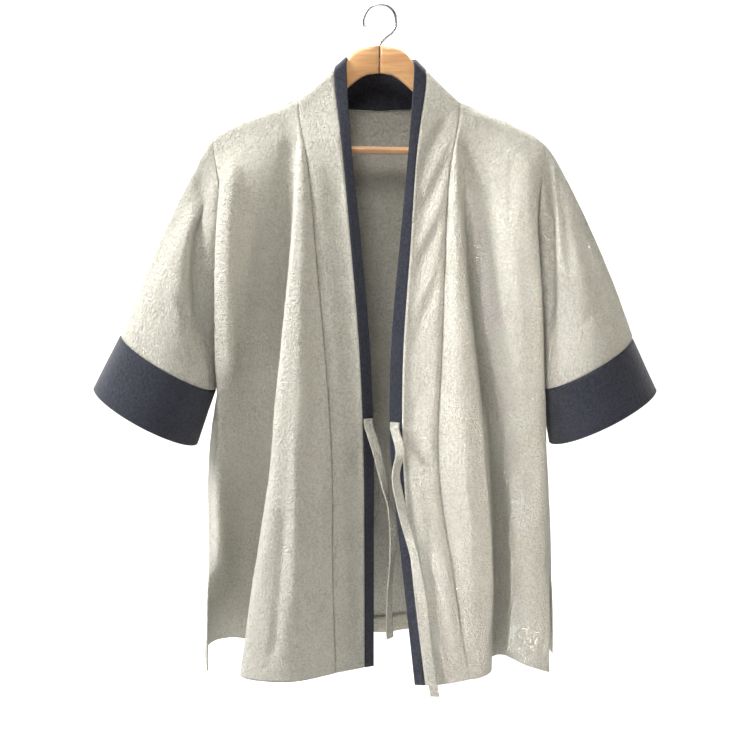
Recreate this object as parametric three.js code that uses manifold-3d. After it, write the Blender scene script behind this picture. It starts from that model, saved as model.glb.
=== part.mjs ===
// An open-front hanfu jacket with short sleeves, hung on a wooden hanger.
// Millimetres, +Z up. The origin is the point of the hook that bears on a rail; -Y is the front of
// the jacket, and +X is the wearer's left.
import * as THREE from 'three';
import { mergeVertices } from 'three/addons/utils/BufferGeometryUtils.js';
import Module from 'manifold-3d';

const wasm = await Module();
wasm.setup();

// ---------------------------------------------------------------- driving sizes
const LINEN = 1.5; // cloth wall of the body and sleeves
const BAND_WALL = 2; // the band is two layers
const EDGING_WALL = 2.4; // the bound edge is folded round both layers
const FACING_WALL = 1.2;
const SEAM_GAP = 0.3;
const SEAM_SHARE = 0.6; // of the gap, left by each of the two pieces of a slanting seam
const HEM_Z = -856; // all hems hang level
const HEM_TURN = 0.965; // share of the drop at which the back's turned-up hem starts

const ARM_THICK = 11; // wooden arm, front to back
const ARM_ROUND = 4.5; // rounding of the arm's long edges
const ARM_TIP = 206;
const ARM_JOINT = ARM_ROUND + 0.15; // the outline starts here, and its rounding reaches the joint
const HANGER_TILT = THREE.MathUtils.degToRad(1); // the wearer's left arm hangs a little lower
const CLOTH_LIFT = 0.5; // clearance of the thickest cloth over the wood
const RIDGE_RADIUS = 9; // bend of the cloth over the arm, at its outer face

const BAR_RADIUS = 5;
const BAR_REACH = 192; // half length
const BAR_Z = -175;
const BORE_CLEARANCE = 0.3;
const BORE_LENGTH = 60; // reaches from the wire's foot out through the top of the wood
const ROUND_SIDES = 16; // facets of the bar and of the bores
const WIRE_RADIUS = 2;
const HOOK_INSIDE = 18; // inner radius of the hook
const STEM_FOOT_Z = -66; // how deep the wire is set in the wood
const STEM = [STEM_FOOT_Z, -54, -46]; // heights along the straight part of the wire
const HOOK_TURN = { from: -62, to: 205, step: 12 }; // degrees round the hook, from the stem's side
const WIRE_FACETS = { along: 36, quarter: 4 };

const TIE_WIDTH = 12;
const TIE_WALL = 1.8;
const TIE_NEAR = 0.1; // share of the way to the next point over which a tie's direction is taken

// Shares of the way down from the shoulder to the hem at which the lines below are given.
const STATIONS = { yoke: 0.1, chest: 0.28, underarm: 0.42, waist: 0.6, hip: 0.8, hem: 1 };
const RIDGE_END = 0.015; // the cloth has turned from level to upright by here
const SLIT_TOP = 0.8; // the side seam stops here
const ROWS = [0, 0.005, 0.01, 0.015, 0.035, 0.065, 0.1, 0.155, 0.215, 0.28, 0.35, 0.42, 0.48, 0.54, 0.6,
  0.665, 0.73, 0.8, 0.86, 0.915, HEM_TURN, 1];

// Upper edge and height of the hanger's arm, from the joint in the middle out to the tip.
const ARM_PROFILE = [
  { reach: 0, top: -47, height: 34 },
  { reach: 16, top: -48, height: 35 },
  { reach: 30, top: -54, height: 38 },
  { reach: 42, top: -66, height: 36 },
  { reach: 57, top: -79, height: 34 },
  { reach: 101, top: -116.5, height: 33 },
  { reach: 148, top: -135, height: 33 },
  { reach: 185, top: -151, height: 33 },
  { reach: 198, top: -158.5, height: 28 },
  { reach: ARM_TIP, top: -165.5, height: 16 },
];

const ARM_SECTIONS = [16, 24, 30, 36, 42, 50, 57, 70, 85, 101, 124, 148, 168, 185, 195]; // where it is cut

// The fronts, as lines that run from the shoulder to the hem. Each gives x at the shoulder, and [x, y]
// at every station. `fold` is the side of the big fold, `tuck` and `pit` lie behind it.
const RIGHT_FRONT = [
  { line: 'edge', shoulder: -42, yoke: [-38, -22], chest: [-24, -42], underarm: [-14, -50],
    waist: [-8, -53], hip: [-8, -47], hem: [-8, -38] },
  { line: 'edging_seam', shoulder: -57, yoke: [-49, -25], chest: [-36, -46], underarm: [-27, -54],
    waist: [-21, -58], hip: [-20, -53], hem: [-20, -43] },
  { line: 'seam', shoulder: -101, yoke: [-90, -30], chest: [-78, -50], underarm: [-69, -58],
    waist: [-61, -64], hip: [-61, -64], hem: [-58, -60] },
  { line: 'crown', shoulder: -104, yoke: [-97, -34], chest: [-98, -62], underarm: [-101, -76],
    waist: [-106, -86], hip: [-115, -92], hem: [-124, -90] },
  { line: 'fold', shoulder: -108, yoke: [-105, -32], chest: [-115, -53], underarm: [-127, -62],
    waist: [-139, -67], hip: [-164, -72], hem: [-187, -68] },
  { line: 'tuck', shoulder: -114, yoke: [-108, -27], chest: [-112, -37], underarm: [-119, -38],
    waist: [-129, -36], hip: [-142, -24], hem: [-165, -12] },
  { line: 'pit', shoulder: -134, yoke: [-120, -21], chest: [-124, -17], underarm: [-133, -12],
    waist: [-143, -8], hip: [-156, 20], hem: [-178, 44] },
  { line: 'cheek', shoulder: -160, yoke: [-160, -29], chest: [-165, -32], underarm: [-174, -26],
    waist: [-179, -14], hip: [-188, 14], hem: [-207, 54] },
  { line: 'flank', shoulder: -187, yoke: [-193, -30], chest: [-205, -44], underarm: [-207, -42],
    waist: [-211, -28], hip: [-213, -18], hem: [-231, 44] },
  { line: 'side', shoulder: -208, yoke: [-199, -20], chest: [-197, -16], underarm: [-198, 0],
    waist: [-223, -6], hip: [-229, -8], hem: [-228, -53] },
];
const LEFT_FRONT = [
  { line: 'edge', shoulder: 42, yoke: [37, -25], chest: [24, -50], underarm: [14, -62],
    waist: [12, -72], hip: [28, -86], hem: [45, -95] },
  { line: 'edging_seam', shoulder: 57, yoke: [47, -28], chest: [37, -55], underarm: [29, -68],
    waist: [28, -78], hip: [40, -91], hem: [59, -97] },
  { line: 'seam', shoulder: 99, yoke: [87, -30], chest: [80, -56], underarm: [77, -70],
    waist: [73, -80], hip: [94, -86], hem: [118, -80] },
  { line: 'crown', shoulder: 102, yoke: [94, -33], chest: [95, -62], underarm: [100, -78],
    waist: [106, -88], hip: [121, -90], hem: [131, -75] },
  { line: 'fold', shoulder: 106, yoke: [102, -31], chest: [110, -52], underarm: [123, -64],
    waist: [135, -70], hip: [147, -68], hem: [149, -52] },
  { line: 'tuck', shoulder: 112, yoke: [106, -27], chest: [109, -38], underarm: [118, -43],
    waist: [134, -44], hip: [142, -32], hem: [145, -20] },
  { line: 'pit', shoulder: 126, yoke: [118, -22], chest: [122, -23], underarm: [134, -22],
    waist: [148, -18], hip: [162, -10], hem: [164, -2] },
  { line: 'cheek', shoulder: 156, yoke: [155, -30], chest: [162, -44], underarm: [172, -46],
    waist: [180, -42], hip: [189, -36], hem: [192, -33] },
  { line: 'flank', shoulder: 187, yoke: [191, -33], chest: [200, -46], underarm: [204, -44],
    waist: [212, -40], hip: [215, -44], hem: [213, -50] },
  { line: 'side', shoulder: 206, yoke: [199, -20], chest: [195, -16], underarm: [195, 0],
    waist: [218, -8], hip: [225, -28], hem: [224, -57] },
];

// The back, from the wearer's right to the left. The lines between the neck points start at the neckline,
// where `neck` gives its y and z.
const BACK = [
  { line: 'right_flank', shoulder: -190, yoke: [-197, 27], chest: [-206, 40], underarm: [-211, 32],
    waist: [-230, 28], hip: [-230, 44], hem: [-218, 74] },
  { line: 'right_fold', shoulder: -126, yoke: [-154, 26], chest: [-160, 38], underarm: [-164, 48],
    waist: [-168, 60], hip: [-168, 70], hem: [-168, 88] },
  { line: 'right_neck_point', shoulder: -101, yoke: [-108, 24], chest: [-112, 28],
    underarm: [-114, 34], waist: [-116, 44], hip: [-118, 54], hem: [-120, 72] },
  { line: 'right_neck_bend', shoulder: -97, neck: [11, -112.6], yoke: [-92, 29], chest: [-92, 36],
    underarm: [-92, 44], waist: [-93, 56], hip: [-95, 66], hem: [-97, 81] },
  { line: 'right_neck_turn', shoulder: -80, neck: [23, -121], yoke: [-74, 36], chest: [-70, 45],
    underarm: [-70, 54], waist: [-71, 66], hip: [-72, 76], hem: [-73, 90] },
  { line: 'right_neck', shoulder: -45, neck: [33, -126], yoke: [-36, 40], chest: [-32, 44],
    underarm: [-31, 50], waist: [-30, 59], hip: [-30, 68], hem: [-30, 80] },
  { line: 'centre', shoulder: 0, neck: [36, -128], yoke: [0, 41], chest: [2, 42],
    underarm: [3, 46], waist: [5, 52], hip: [6, 61], hem: [8, 74] },
  { line: 'left_neck', shoulder: 45, neck: [33, -126], yoke: [38, 40], chest: [37, 47],
    underarm: [38, 55], waist: [40, 66], hip: [42, 77], hem: [44, 90] },
  { line: 'left_neck_turn', shoulder: 80, neck: [23, -122], yoke: [74, 34], chest: [74, 40],
    underarm: [75, 46], waist: [77, 54], hip: [79, 62], hem: [82, 74] },
  { line: 'left_neck_bend', shoulder: 96, neck: [10.5, -116], yoke: [92, 27], chest: [95, 34],
    underarm: [97, 42], waist: [99, 52], hip: [102, 62], hem: [104, 76] },
  { line: 'left_neck_point', shoulder: 99, yoke: [110, 23], chest: [116, 30], underarm: [119, 40],
    waist: [122, 53], hip: [125, 64], hem: [127, 78] },
  { line: 'left_fold', shoulder: 126, yoke: [154, 26], chest: [160, 36], underarm: [165, 44],
    waist: [170, 50], hip: [174, 52], hem: [178, 62] },
  { line: 'left_flank', shoulder: 190, yoke: [196, 27], chest: [203, 40], underarm: [208, 32],
    waist: [223, 24], hip: [231, 22], hem: [228, 36] },
];
const SLIT_SPRING = 0.45; // below 1, the slit springs apart just under its top
const SLIT_CORNER = { right: [-232, 64], left: [237, 1] }; // [x, y] of the back's lower corners

// Round the neck behind the hanger, from the shoulder to the middle of the back: the band's free edge and
// its edging seam, as [x, y, z], with x of the wearer's right given.
const NECK_ROWS = [
  { round: 0.25, edging_seam: [-58, 9.5, -76], edge: [-44, 9, -63] },
  { round: 0.5, edging_seam: [-53, 20, -78], edge: [-42, 17, -64] },
  { round: 0.75, edging_seam: [-30, 29, -79], edge: [-24, 25, -65] },
  { round: 1, edging_seam: [0, 32, -79], edge: [0, 28.5, -65] },
];

// The cuffs: [x, z] of each end of the loop where the cuff is sewn on, and of its open mouth.
const CUFFS = {
  right: {
    seam: { outer: [-334, -409], inner: [-209.5, -483] },
    mouth: { outer: [-372, -480], inner: [-236, -557] },
  },
  left: {
    seam: { outer: [325, -413], inner: [205.5, -481] },
    mouth: { outer: [359, -482], inner: [219, -555] },
  },
};
const CUFF_Y = -5; // middle of the cuff's loops
const CUFF_HALF_DEPTH = { seam: 53, mouth: 57 };
const SLEEVE_ROWS = [0, 0.05, 0.12, 0.22, 0.34, 0.48, 0.62, 0.76, 0.88, 1];
const CUFF_ROWS = [0, 0.33, 0.67, 1];
const SLEEVE_LEAVE = { top: 0.45, side: 1 }; // how far the sleeve runs on outwards before it falls
const SLEEVE_FALL = { top: 1.15, side: 0.35 }; // and how steeply, per unit outwards
const SLEEVE_SPREAD = 0.9; // how far its front and back stand apart at the armhole, per unit outwards

// Folds that hang from the shoulder point down each sleeve: where they run round the front or back half
// (0 at the top, 1 under the arm), how far they stand out, their width in the same shares, and how far
// down the sleeve they fade.
const SLEEVE_FOLDS = [
  { half: 'front', at: 0.3, out: 7, width: 0.07, fades: 0.75 },
  { half: 'front', at: 0.17, out: -6, width: 0.07, fades: 0.9 },
  { half: 'front', at: 0.62, out: 4, width: 0.12, fades: 0.6 },
  { half: 'back', at: 0.28, out: 7, width: 0.08, fades: 0.8 },
  { half: 'back', at: 0.55, out: -5, width: 0.1, fades: 0.7 },
];

// The ties hang free below their seats on the edging: their middle line, and the turn of their flat side
// about it, in degrees.
const TIE_SEAT = [{ z: -508, off: 0.4 }, { z: -518, off: 1.6 }]; // the stitched end, off the edging
const RIGHT_TIE = [
  { x: -4, y: -69, z: -546, turn: 25 },
  { x: 2, y: -68, z: -572, turn: 30 },
  { x: 8, y: -64, z: -600, turn: 55 },
  { x: 11, y: -60, z: -616, turn: 80 },
  { x: 15, y: -58, z: -632, turn: 55 },
  { x: 18, y: -56, z: -652, turn: 30 },
  { x: 18, y: -54, z: -680, turn: 45 },
  { x: 15, y: -52, z: -715, turn: 65 },
  { x: 13, y: -50, z: -750, turn: 60 },
  { x: 13, y: -48, z: -785, turn: 50 },
  { x: 14, y: -47, z: -812, turn: 45 },
];
const LEFT_TIE = [
  { x: 26, y: -92, z: -540, turn: 5 },
  { x: 22, y: -97, z: -557, turn: 35 },
  { x: 20, y: -98, z: -573, turn: 40 },
  { x: 23, y: -99, z: -592, turn: 25 },
  { x: 28, y: -101, z: -615, turn: 20 },
  { x: 34, y: -104, z: -640, turn: 0 },
  { x: 42, y: -107, z: -668, turn: -20 },
  { x: 48, y: -109, z: -700, turn: -15 },
  { x: 54, y: -110, z: -735, turn: -5 },
  { x: 58, y: -110, z: -772, turn: 0 },
  { x: 62, y: -110, z: -808, turn: 5 },
  { x: 67, y: -110, z: -842, turn: 5 },
  { x: 71, y: -109, z: -866, turn: 0 },
];

// ---------------------------------------------------------------- finishes
const FINISH = {
  linen: { color: 0xc9c5b8, roughness: 0.95, metalness: 0 },
  linenInside: { color: 0xb4ae9c, roughness: 0.95, metalness: 0 },
  darkLinen: { color: 0x444a58, roughness: 0.9, metalness: 0 },
  wood: { color: 0xcfa070, roughness: 0.5, metalness: 0 },
  steel: { color: 0xc4c6c8, roughness: 0.25, metalness: 1 },
};

function meshOf(name, geometry, finish) {
  const mesh = new THREE.Mesh(geometry, new THREE.MeshStandardMaterial(FINISH[finish]));
  mesh.name = name;
  return mesh;
}

// ---------------------------------------------------------------- smooth runs through points
// The point at `at` on a smooth curve through `points`, with a knot for each, and its tangent at the
// start if one is given. The tangents are weighted by the spacing, so uneven spacing makes no loops.
function smoothRun(knots, points, at, startTangent) {
  const last = points.length - 1;
  let i = 0;
  while (i < last - 1 && at > knots[i + 1]) i += 1;
  const slope = (k) => points[k + 1].clone().sub(points[k]).divideScalar(knots[k + 1] - knots[k]);
  const tangent = (k) => {
    if (k === 0) return startTangent ?? slope(0);
    if (k === last) return slope(last - 1);
    const before = knots[k] - knots[k - 1];
    const after = knots[k + 1] - knots[k];
    const weighted = slope(k - 1).multiplyScalar(after).add(slope(k).multiplyScalar(before));
    return weighted.divideScalar(before + after);
  };
  const span = knots[i + 1] - knots[i];
  const f = (at - knots[i]) / span;
  const f2 = f * f;
  const f3 = f2 * f;
  return points[i].clone().multiplyScalar(2 * f3 - 3 * f2 + 1)
    .addScaledVector(tangent(i), (f3 - 2 * f2 + f) * span)
    .addScaledVector(points[i + 1], 3 * f2 - 2 * f3)
    .addScaledVector(tangent(i + 1), (f3 - f2) * span);
}

// A smooth curve across `points`, where u counts points and may lie between two of them.
function smoothAcross(points, u) {
  const knots = [0];
  for (let k = 1; k < points.length; k += 1) knots.push(knots[k - 1] + points[k].distanceTo(points[k - 1]));
  const i = Math.min(Math.max(Math.floor(u), 0), points.length - 2);
  return smoothRun(knots, points, knots[i] + (u - i) * (knots[i + 1] - knots[i]));
}

function profileAt(reach, column) {
  const knots = ARM_PROFILE.map((row) => row.reach);
  const values = ARM_PROFILE.map((row) => new THREE.Vector3(row[column], 0, 0));
  return smoothRun(knots, values, Math.min(reach, ARM_TIP), new THREE.Vector3()).x;
}

// Height of the cloth's outer face where it lies on the tilted arm.
function shoulderHeight(x) {
  const sin = Math.sin(HANGER_TILT);
  const cos = Math.cos(HANGER_TILT);
  const top = (at) => profileAt(Math.abs(at), 'top');
  const reach = (x - top(x) * sin) / cos;
  const slope = Math.abs(top(reach + 1) - top(reach - 1)) / 2;
  const lift = (CLOTH_LIFT + EDGING_WALL) * Math.hypot(1, slope);
  return top(reach) * cos - reach * sin + lift;
}

// ---------------------------------------------------------------- the lines of the body
const STATION_NAMES = Object.keys(STATIONS);

// The point of one line at a share `s` of the drop. `out` is -1 on a front and 1 on the back.
function linePoint(row, s, out) {
  const x = row.shoulder;
  const top = row.neck ? row.neck[1] : shoulderHeight(x);
  const hangs = (station) => {
    const [atX, atY] = row[station];
    return new THREE.Vector3(atX, atY, top + (HEM_Z - top) * STATIONS[station]);
  };
  if (row.neck) {
    const start = new THREE.Vector3(x, row.neck[0], top);
    const knots = [0, ...STATION_NAMES.map((name) => STATIONS[name])];
    return smoothRun(knots, [start, ...STATION_NAMES.map(hangs)], s);
  }
  if (s <= RIDGE_END) {
    const angle = (s / RIDGE_END) * Math.PI * 0.5;
    const y = out * RIDGE_RADIUS * Math.sin(angle);
    return new THREE.Vector3(x, y, top - RIDGE_RADIUS * (1 - Math.cos(angle)));
  }
  const start = new THREE.Vector3(x, out * RIDGE_RADIUS, top - RIDGE_RADIUS);
  const knots = [RIDGE_END, ...STATION_NAMES.map((name) => STATIONS[name])];
  const straightDown = new THREE.Vector3(0, 0, HEM_Z - top);
  return smoothRun(knots, [start, ...STATION_NAMES.map(hangs)], s, straightDown);
}

const FRONTS = { right: RIGHT_FRONT, left: LEFT_FRONT };
const SIDE_SIGN = { right: -1, left: 1 };
const lineIndex = (rows, name) => rows.findIndex((row) => row.line === name);

function frontPoint(side, u, s) {
  return smoothAcross(FRONTS[side].map((row) => linePoint(row, s, -1)), u);
}

// The back meets the front along the side seam, and parts from it above, round the armhole, and below,
// at the slit.
function backSidePoint(side, s) {
  const rows = FRONTS[side];
  const front = linePoint(rows[rows.length - 1], s, -1);
  if (s <= STATIONS.underarm) return front.setY(-front.y);
  if (s <= SLIT_TOP) return front;
  const open = ((s - SLIT_TOP) / (1 - SLIT_TOP)) ** SLIT_SPRING;
  const top = linePoint(rows[rows.length - 1], SLIT_TOP, -1);
  const [x, y] = SLIT_CORNER[side];
  return new THREE.Vector3(top.x + (x - top.x) * open, top.y + (y - top.y) * open, front.z);
}

function backPoint(u, s) {
  const inner = BACK.map((row) => linePoint(row, s, 1));
  return smoothAcross([backSidePoint('right', s), ...inner, backSidePoint('left', s)], u);
}
const backIndex = (name) => 1 + lineIndex(BACK, name);

// ---------------------------------------------------------------- cloth walls
// The outward normal of a surface of (u, s), from close points on either side. `flip` is -1 where u
// runs the other way.
function surfaceNormal(surface, u, s, flip, sRange = [0, 1], uRange = [-Infinity, Infinity]) {
  const du = 0.02;
  const ds = 0.002;
  const along = surface(Math.min(u + du, uRange[1]), s).sub(surface(Math.max(u - du, uRange[0]), s));
  const down = surface(u, Math.min(s + ds, sRange[1])).sub(surface(u, Math.max(s - ds, sRange[0])));
  return along.cross(down).multiplyScalar(flip).normalize();
}

// A closed wall from the points of its outer face: each is moved in against its normal, and the rims are
// closed. `round` joins the last column to the first.
function clothWall(name, points, normals, thickness, finish, { flip = 1, round = false } = {}) {
  const rows = points.length;
  const columns = points[0].length;
  const outer = points.flat();
  const inner = outer.map((p, i) => p.clone().addScaledVector(normals.flat()[i], -thickness));
  const at = (v, u) => v * columns + (u % columns);
  const index = [];
  const quad = (a, b, c, d) => {
    if (flip > 0) index.push(a, b, c, a, c, d);
    else index.push(a, c, b, a, d, c);
  };
  const lastColumn = round ? columns : columns - 1;
  const deep = outer.length;
  for (let v = 0; v < rows - 1; v += 1) {
    for (let u = 0; u < lastColumn; u += 1) {
      quad(at(v, u), at(v, u + 1), at(v + 1, u + 1), at(v + 1, u));
      quad(deep + at(v, u), deep + at(v + 1, u), deep + at(v + 1, u + 1), deep + at(v, u + 1));
    }
    if (!round) {
      quad(at(v, 0), at(v + 1, 0), deep + at(v + 1, 0), deep + at(v, 0));
      const end = columns - 1;
      quad(at(v, end), deep + at(v, end), deep + at(v + 1, end), at(v + 1, end));
    }
  }
  for (let u = 0; u < lastColumn; u += 1) {
    quad(at(0, u), deep + at(0, u), deep + at(0, u + 1), at(0, u + 1));
    quad(at(rows - 1, u), at(rows - 1, u + 1), deep + at(rows - 1, u + 1), deep + at(rows - 1, u));
  }
  const geometry = new THREE.BufferGeometry();
  const positions = [...outer, ...inner].flatMap((p) => [p.x, p.y, p.z]);
  geometry.setAttribute('position', new THREE.Float32BufferAttribute(positions, 3));
  geometry.setIndex(index);
  geometry.computeVertexNormals();
  return meshOf(name, geometry, finish);
}

// Moves an edge point that lies on a seam off it, square to the seam and towards its own piece.
function partFromSeam(p, neighbour, normal) {
  const off = normal.clone().cross(new THREE.Vector3(0, 0, -1)).normalize();
  const towards = off.dot(neighbour.clone().sub(p)) > 0 ? 1 : -1;
  p.addScaledVector(off, towards * SEAM_GAP * SEAM_SHARE);
}

// Moves the first or last point of each row a little along the row, so that the piece stops short of
// its seam.
function pullBackEnds(points, { first = 0, last = 0 }) {
  for (const row of points) {
    const end = row.length - 1;
    const forward = row[1].clone().sub(row[0]).normalize();
    const back = row[end - 1].clone().sub(row[end]).normalize();
    row[0].addScaledVector(forward, first);
    row[end].addScaledVector(back, last);
  }
}

// The same for the first row of all, which lies on the shoulder or on another seam.
function pullBackTop(points, gap) {
  points[0].forEach((p, i) => p.addScaledVector(points[1][i].clone().sub(p).normalize(), gap));
}

function steps(from, to, perLine) {
  const list = [];
  const count = Math.round((to - from) * perLine);
  for (let k = 0; k <= count; k += 1) list.push(from + ((to - from) * k) / count);
  return list;
}

// ---------------------------------------------------------------- fronts
const FRONT_STEPS = 3; // columns between two lines

// Above the shoulder line a front's surface is its own mirror image, which makes the ridge level.
function frontSurface(side) {
  return (u, s) => {
    const p = frontPoint(side, u, Math.abs(s));
    return s < 0 ? p.setY(-p.y) : p;
  };
}

function frontNormal(side, u, s) {
  const lines = FRONTS[side].length - 1;
  return surfaceNormal(frontSurface(side), u, s, -SIDE_SIGN[side], [-1, 1], [0, lines]);
}

const onSideSeam = (s) => s >= STATIONS.underarm && s <= SLIT_TOP;

// Both pieces share one normal along the side seam, so that their walls meet and don't cross.
function sideSeamNormal(side, s) {
  const backEdge = side === 'right' ? 0 : BACK.length + 1;
  return frontNormal(side, FRONTS[side].length - 1, s).add(backNormal(backEdge, s)).normalize();
}

function frontStrip(side, fromLine, toLine, perLine) {
  const columns = steps(lineIndex(FRONTS[side], fromLine), lineIndex(FRONTS[side], toLine), perLine);
  return {
    points: ROWS.map((s) => columns.map((u) => frontPoint(side, u, s))),
    normals: ROWS.map((s) => columns.map((u) => frontNormal(side, u, s))),
  };
}

function front(side) {
  const { points, normals } = frontStrip(side, 'seam', 'side', FRONT_STEPS);
  const end = points[0].length - 1;
  ROWS.forEach((s, v) => {
    if (!onSideSeam(s)) return;
    normals[v][end] = sideSeamNormal(side, s);
    partFromSeam(points[v][end], points[v][end - 1], normals[v][end]);
  });
  pullBackEnds(points, { first: SEAM_GAP / 2 });
  pullBackTop(points, SEAM_GAP);
  return clothWall(`${side}_front`, points, normals, LINEN, 'linen', { flip: -SIDE_SIGN[side] });
}

// ---------------------------------------------------------------- back
const BACK_STEPS = 2;

function backNormal(u, s) {
  const last = BACK.length + 1;
  const offNeck = u <= backIndex('right_neck_point') || u >= backIndex('left_neck_point');
  const onShoulder = s < RIDGE_END / 10 && offNeck;
  const surface = (a, b) => {
    const p = backPoint(a, Math.abs(b));
    return b < 0 ? p.setY(-p.y) : p;
  };
  return surfaceNormal(surface, u, s, 1, [onShoulder ? -1 : 0, 1], [0, last]);
}

function backPanel() {
  const columns = steps(0, BACK.length + 1, BACK_STEPS);
  const points = ROWS.map((s) => columns.map((u) => backPoint(u, s)));
  const normals = ROWS.map((s) => columns.map((u) => backNormal(u, s)));
  const end = columns.length - 1;
  ROWS.forEach((s, v) => {
    if (!onSideSeam(s)) return;
    normals[v][0] = sideSeamNormal('right', s);
    normals[v][end] = sideSeamNormal('left', s);
    partFromSeam(points[v][0], points[v][1], normals[v][0]);
    partFromSeam(points[v][end], points[v][end - 1], normals[v][end]);
  });
  pullBackTop(points, 1.2 * SEAM_GAP);
  return clothWall('back_panel', points, normals, LINEN, 'linen');
}

// The hem's turning, sewn to the inside of the back.
function backHem() {
  const columns = steps(1, BACK.length, BACK_STEPS);
  const rows = ROWS.filter((s) => s >= HEM_TURN);
  const normals = rows.map((s) => columns.map((u) => backNormal(u, s)));
  const lift = LINEN + SEAM_GAP;
  const points = rows.map((s, v) => (
    columns.map((u, i) => backPoint(u, s).addScaledVector(normals[v][i], -lift))
  ));
  return clothWall('back_hem', points, normals, FACING_WALL, 'linenInside');
}

// ---------------------------------------------------------------- band and edging
// The band runs up the front edge, over the shoulder and round the neck to the middle of the back, and
// the edging borders it all the way.
const NECK_STEPS = 8;
const NECK_START = new THREE.Vector3(0, 45, 0); // the neckline leaves the shoulder straight back
const FACING_START = 0.3; // share of the way round the neck at which the facing starts
const BAND_STEPS = 3;

function neckRow(side, round) {
  const mirror = (p) => new THREE.Vector3(side === 'right' ? p[0] : -p[0], p[1], p[2]);
  const lean = (p) => p.setZ(p.z - p.x * Math.sin(HANGER_TILT) * (1 - round));
  const start = (line) => frontPoint(side, lineIndex(FRONTS[side], line), 0);
  const knots = [0, ...NECK_ROWS.map((row) => row.round)];
  const run = (line) => {
    const points = [start(line), ...NECK_ROWS.map((row) => lean(mirror(row[line])))];
    return smoothRun(knots, points, round, NECK_START);
  };
  const first = backIndex(`${side}_neck_point`);
  const seam = backPoint(first + (backIndex('centre') - first) * round, 0);
  return { seam, edging_seam: run('edging_seam'), edge: run('edge') };
}

// The points across the band's whole width, from the front edge to the seam, behind the shoulder.
function neckPoint(side, u, round) {
  const row = neckRow(side, round);
  return smoothAcross([row.edge, row.edging_seam, row.seam], u);
}

function bandStrip(side, fromLine, toLine, perLine) {
  const strip = frontStrip(side, fromLine, toLine, perLine);
  const columns = steps(lineIndex(FRONTS[side], fromLine), lineIndex(FRONTS[side], toLine), perLine);
  const surface = (u, round) => neckPoint(side, u, round);
  const seamLine = lineIndex(FRONTS[side], 'seam');
  const rounds = steps(0, 1, NECK_STEPS).slice(1);
  const reversed = [...rounds].reverse();
  const first = backIndex(`${side}_neck_point`);
  const neckNormal = (u, round) => {
    if (u === seamLine) return backNormal(first + (backIndex('centre') - first) * round, 0);
    const normal = surfaceNormal(surface, u, round, SIDE_SIGN[side], [0.01, 1], [0, seamLine]);
    return round === 1 ? normal.setX(0).normalize() : normal;
  };
  return {
    points: [...reversed.map((r) => columns.map((u) => neckPoint(side, u, r))), ...strip.points],
    normals: [...reversed.map((r) => columns.map((u) => neckNormal(u, r))), ...strip.normals],
    rounds: reversed,
  };
}

function band(side) {
  const { points, normals } = bandStrip(side, 'edging_seam', 'seam', BAND_STEPS);
  pullBackEnds(points, { first: SEAM_GAP / 2, last: SEAM_GAP });
  pullBackTop(points, SEAM_GAP / 2);
  return clothWall(`${side}_band`, points, normals, BAND_WALL, 'linen', { flip: -SIDE_SIGN[side] });
}

function edging(side) {
  const { points, normals } = bandStrip(side, 'edge', 'edging_seam', 2);
  pullBackEnds(points, { last: SEAM_GAP / 2 });
  pullBackTop(points, SEAM_GAP / 2);
  return clothWall(`${side}_edging`, points, normals, EDGING_WALL, 'darkLinen', { flip: -SIDE_SIGN[side] });
}

// The dark facing inside the back of the neck, behind the hanger.
function neckFacing() {
  const lift = BAND_WALL + SEAM_GAP;
  const half = (side) => {
    const { points, normals, rounds } = bandStrip(side, 'edging_seam', 'seam', BAND_STEPS);
    const kept = rounds.filter((round) => round >= FACING_START).length;
    const laid = points.slice(0, kept).map((row, v) => (
      row.map((p, i) => p.addScaledVector(normals[v][i], -lift))
    ));
    return { points: laid, normals: normals.slice(0, kept) };
  };
  const right = half('right');
  const left = half('left');
  const points = [...right.points.reverse(), ...left.points.slice(1)];
  const normals = [...right.normals.reverse(), ...left.normals.slice(1)];
  pullBackEnds(points, { first: SEAM_GAP, last: SEAM_GAP });
  return clothWall('neck_facing', points, normals, FACING_WALL, 'darkLinen', { flip: -1 });
}

// ---------------------------------------------------------------- sleeves and cuffs
// The armhole runs down the front's side line and up the back's, with a point for each row of the body.
function armhole(side) {
  const rows = ROWS.filter((s) => s <= STATIONS.underarm);
  const frontLine = FRONTS[side][FRONTS[side].length - 1];
  const down = rows.map((s) => linePoint(frontLine, s, -1));
  const up = rows.slice(1, -1).reverse().map((s) => backSidePoint(side, s));
  return { points: [...down, ...up], under: down.length - 1 };
}

// For each point of the armhole, its share of the way down that half, and which half it is.
function shares({ points, under }) {
  const half = (list) => {
    const run = [0];
    for (let k = 1; k < list.length; k += 1) run.push(run[k - 1] + list[k].distanceTo(list[k - 1]));
    return run.map((length) => length / run[run.length - 1]);
  };
  const down = half(points.slice(0, under + 1));
  const up = half([points[0], ...points.slice(under).reverse()]);
  return [
    ...down.map((share) => ({ share, half: 'front', forward: -1 })),
    ...up.slice(1, -1).reverse().map((share) => ({ share, half: 'back', forward: 1 })),
  ];
}

function cuffLoop(side, end, around) {
  const { outer, inner } = CUFFS[side][end];
  const depth = CUFF_HALF_DEPTH[end];
  return around.map(({ share, forward }) => {
    const angle = share * Math.PI;
    const across = (1 + Math.cos(angle)) / 2;
    const x = inner[0] + (outer[0] - inner[0]) * across;
    const z = inner[1] + (outer[1] - inner[1]) * across;
    return new THREE.Vector3(x, CUFF_Y + forward * depth * Math.sin(angle), z);
  });
}

function sleeveAxis(side) {
  const { seam, mouth } = CUFFS[side];
  const middle = ({ outer, inner }) => (
    new THREE.Vector3((outer[0] + inner[0]) / 2, CUFF_Y, (outer[1] + inner[1]) / 2)
  );
  return middle(mouth).sub(middle(seam)).normalize();
}

const bump = (x) => Math.exp(-x * x);

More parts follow.
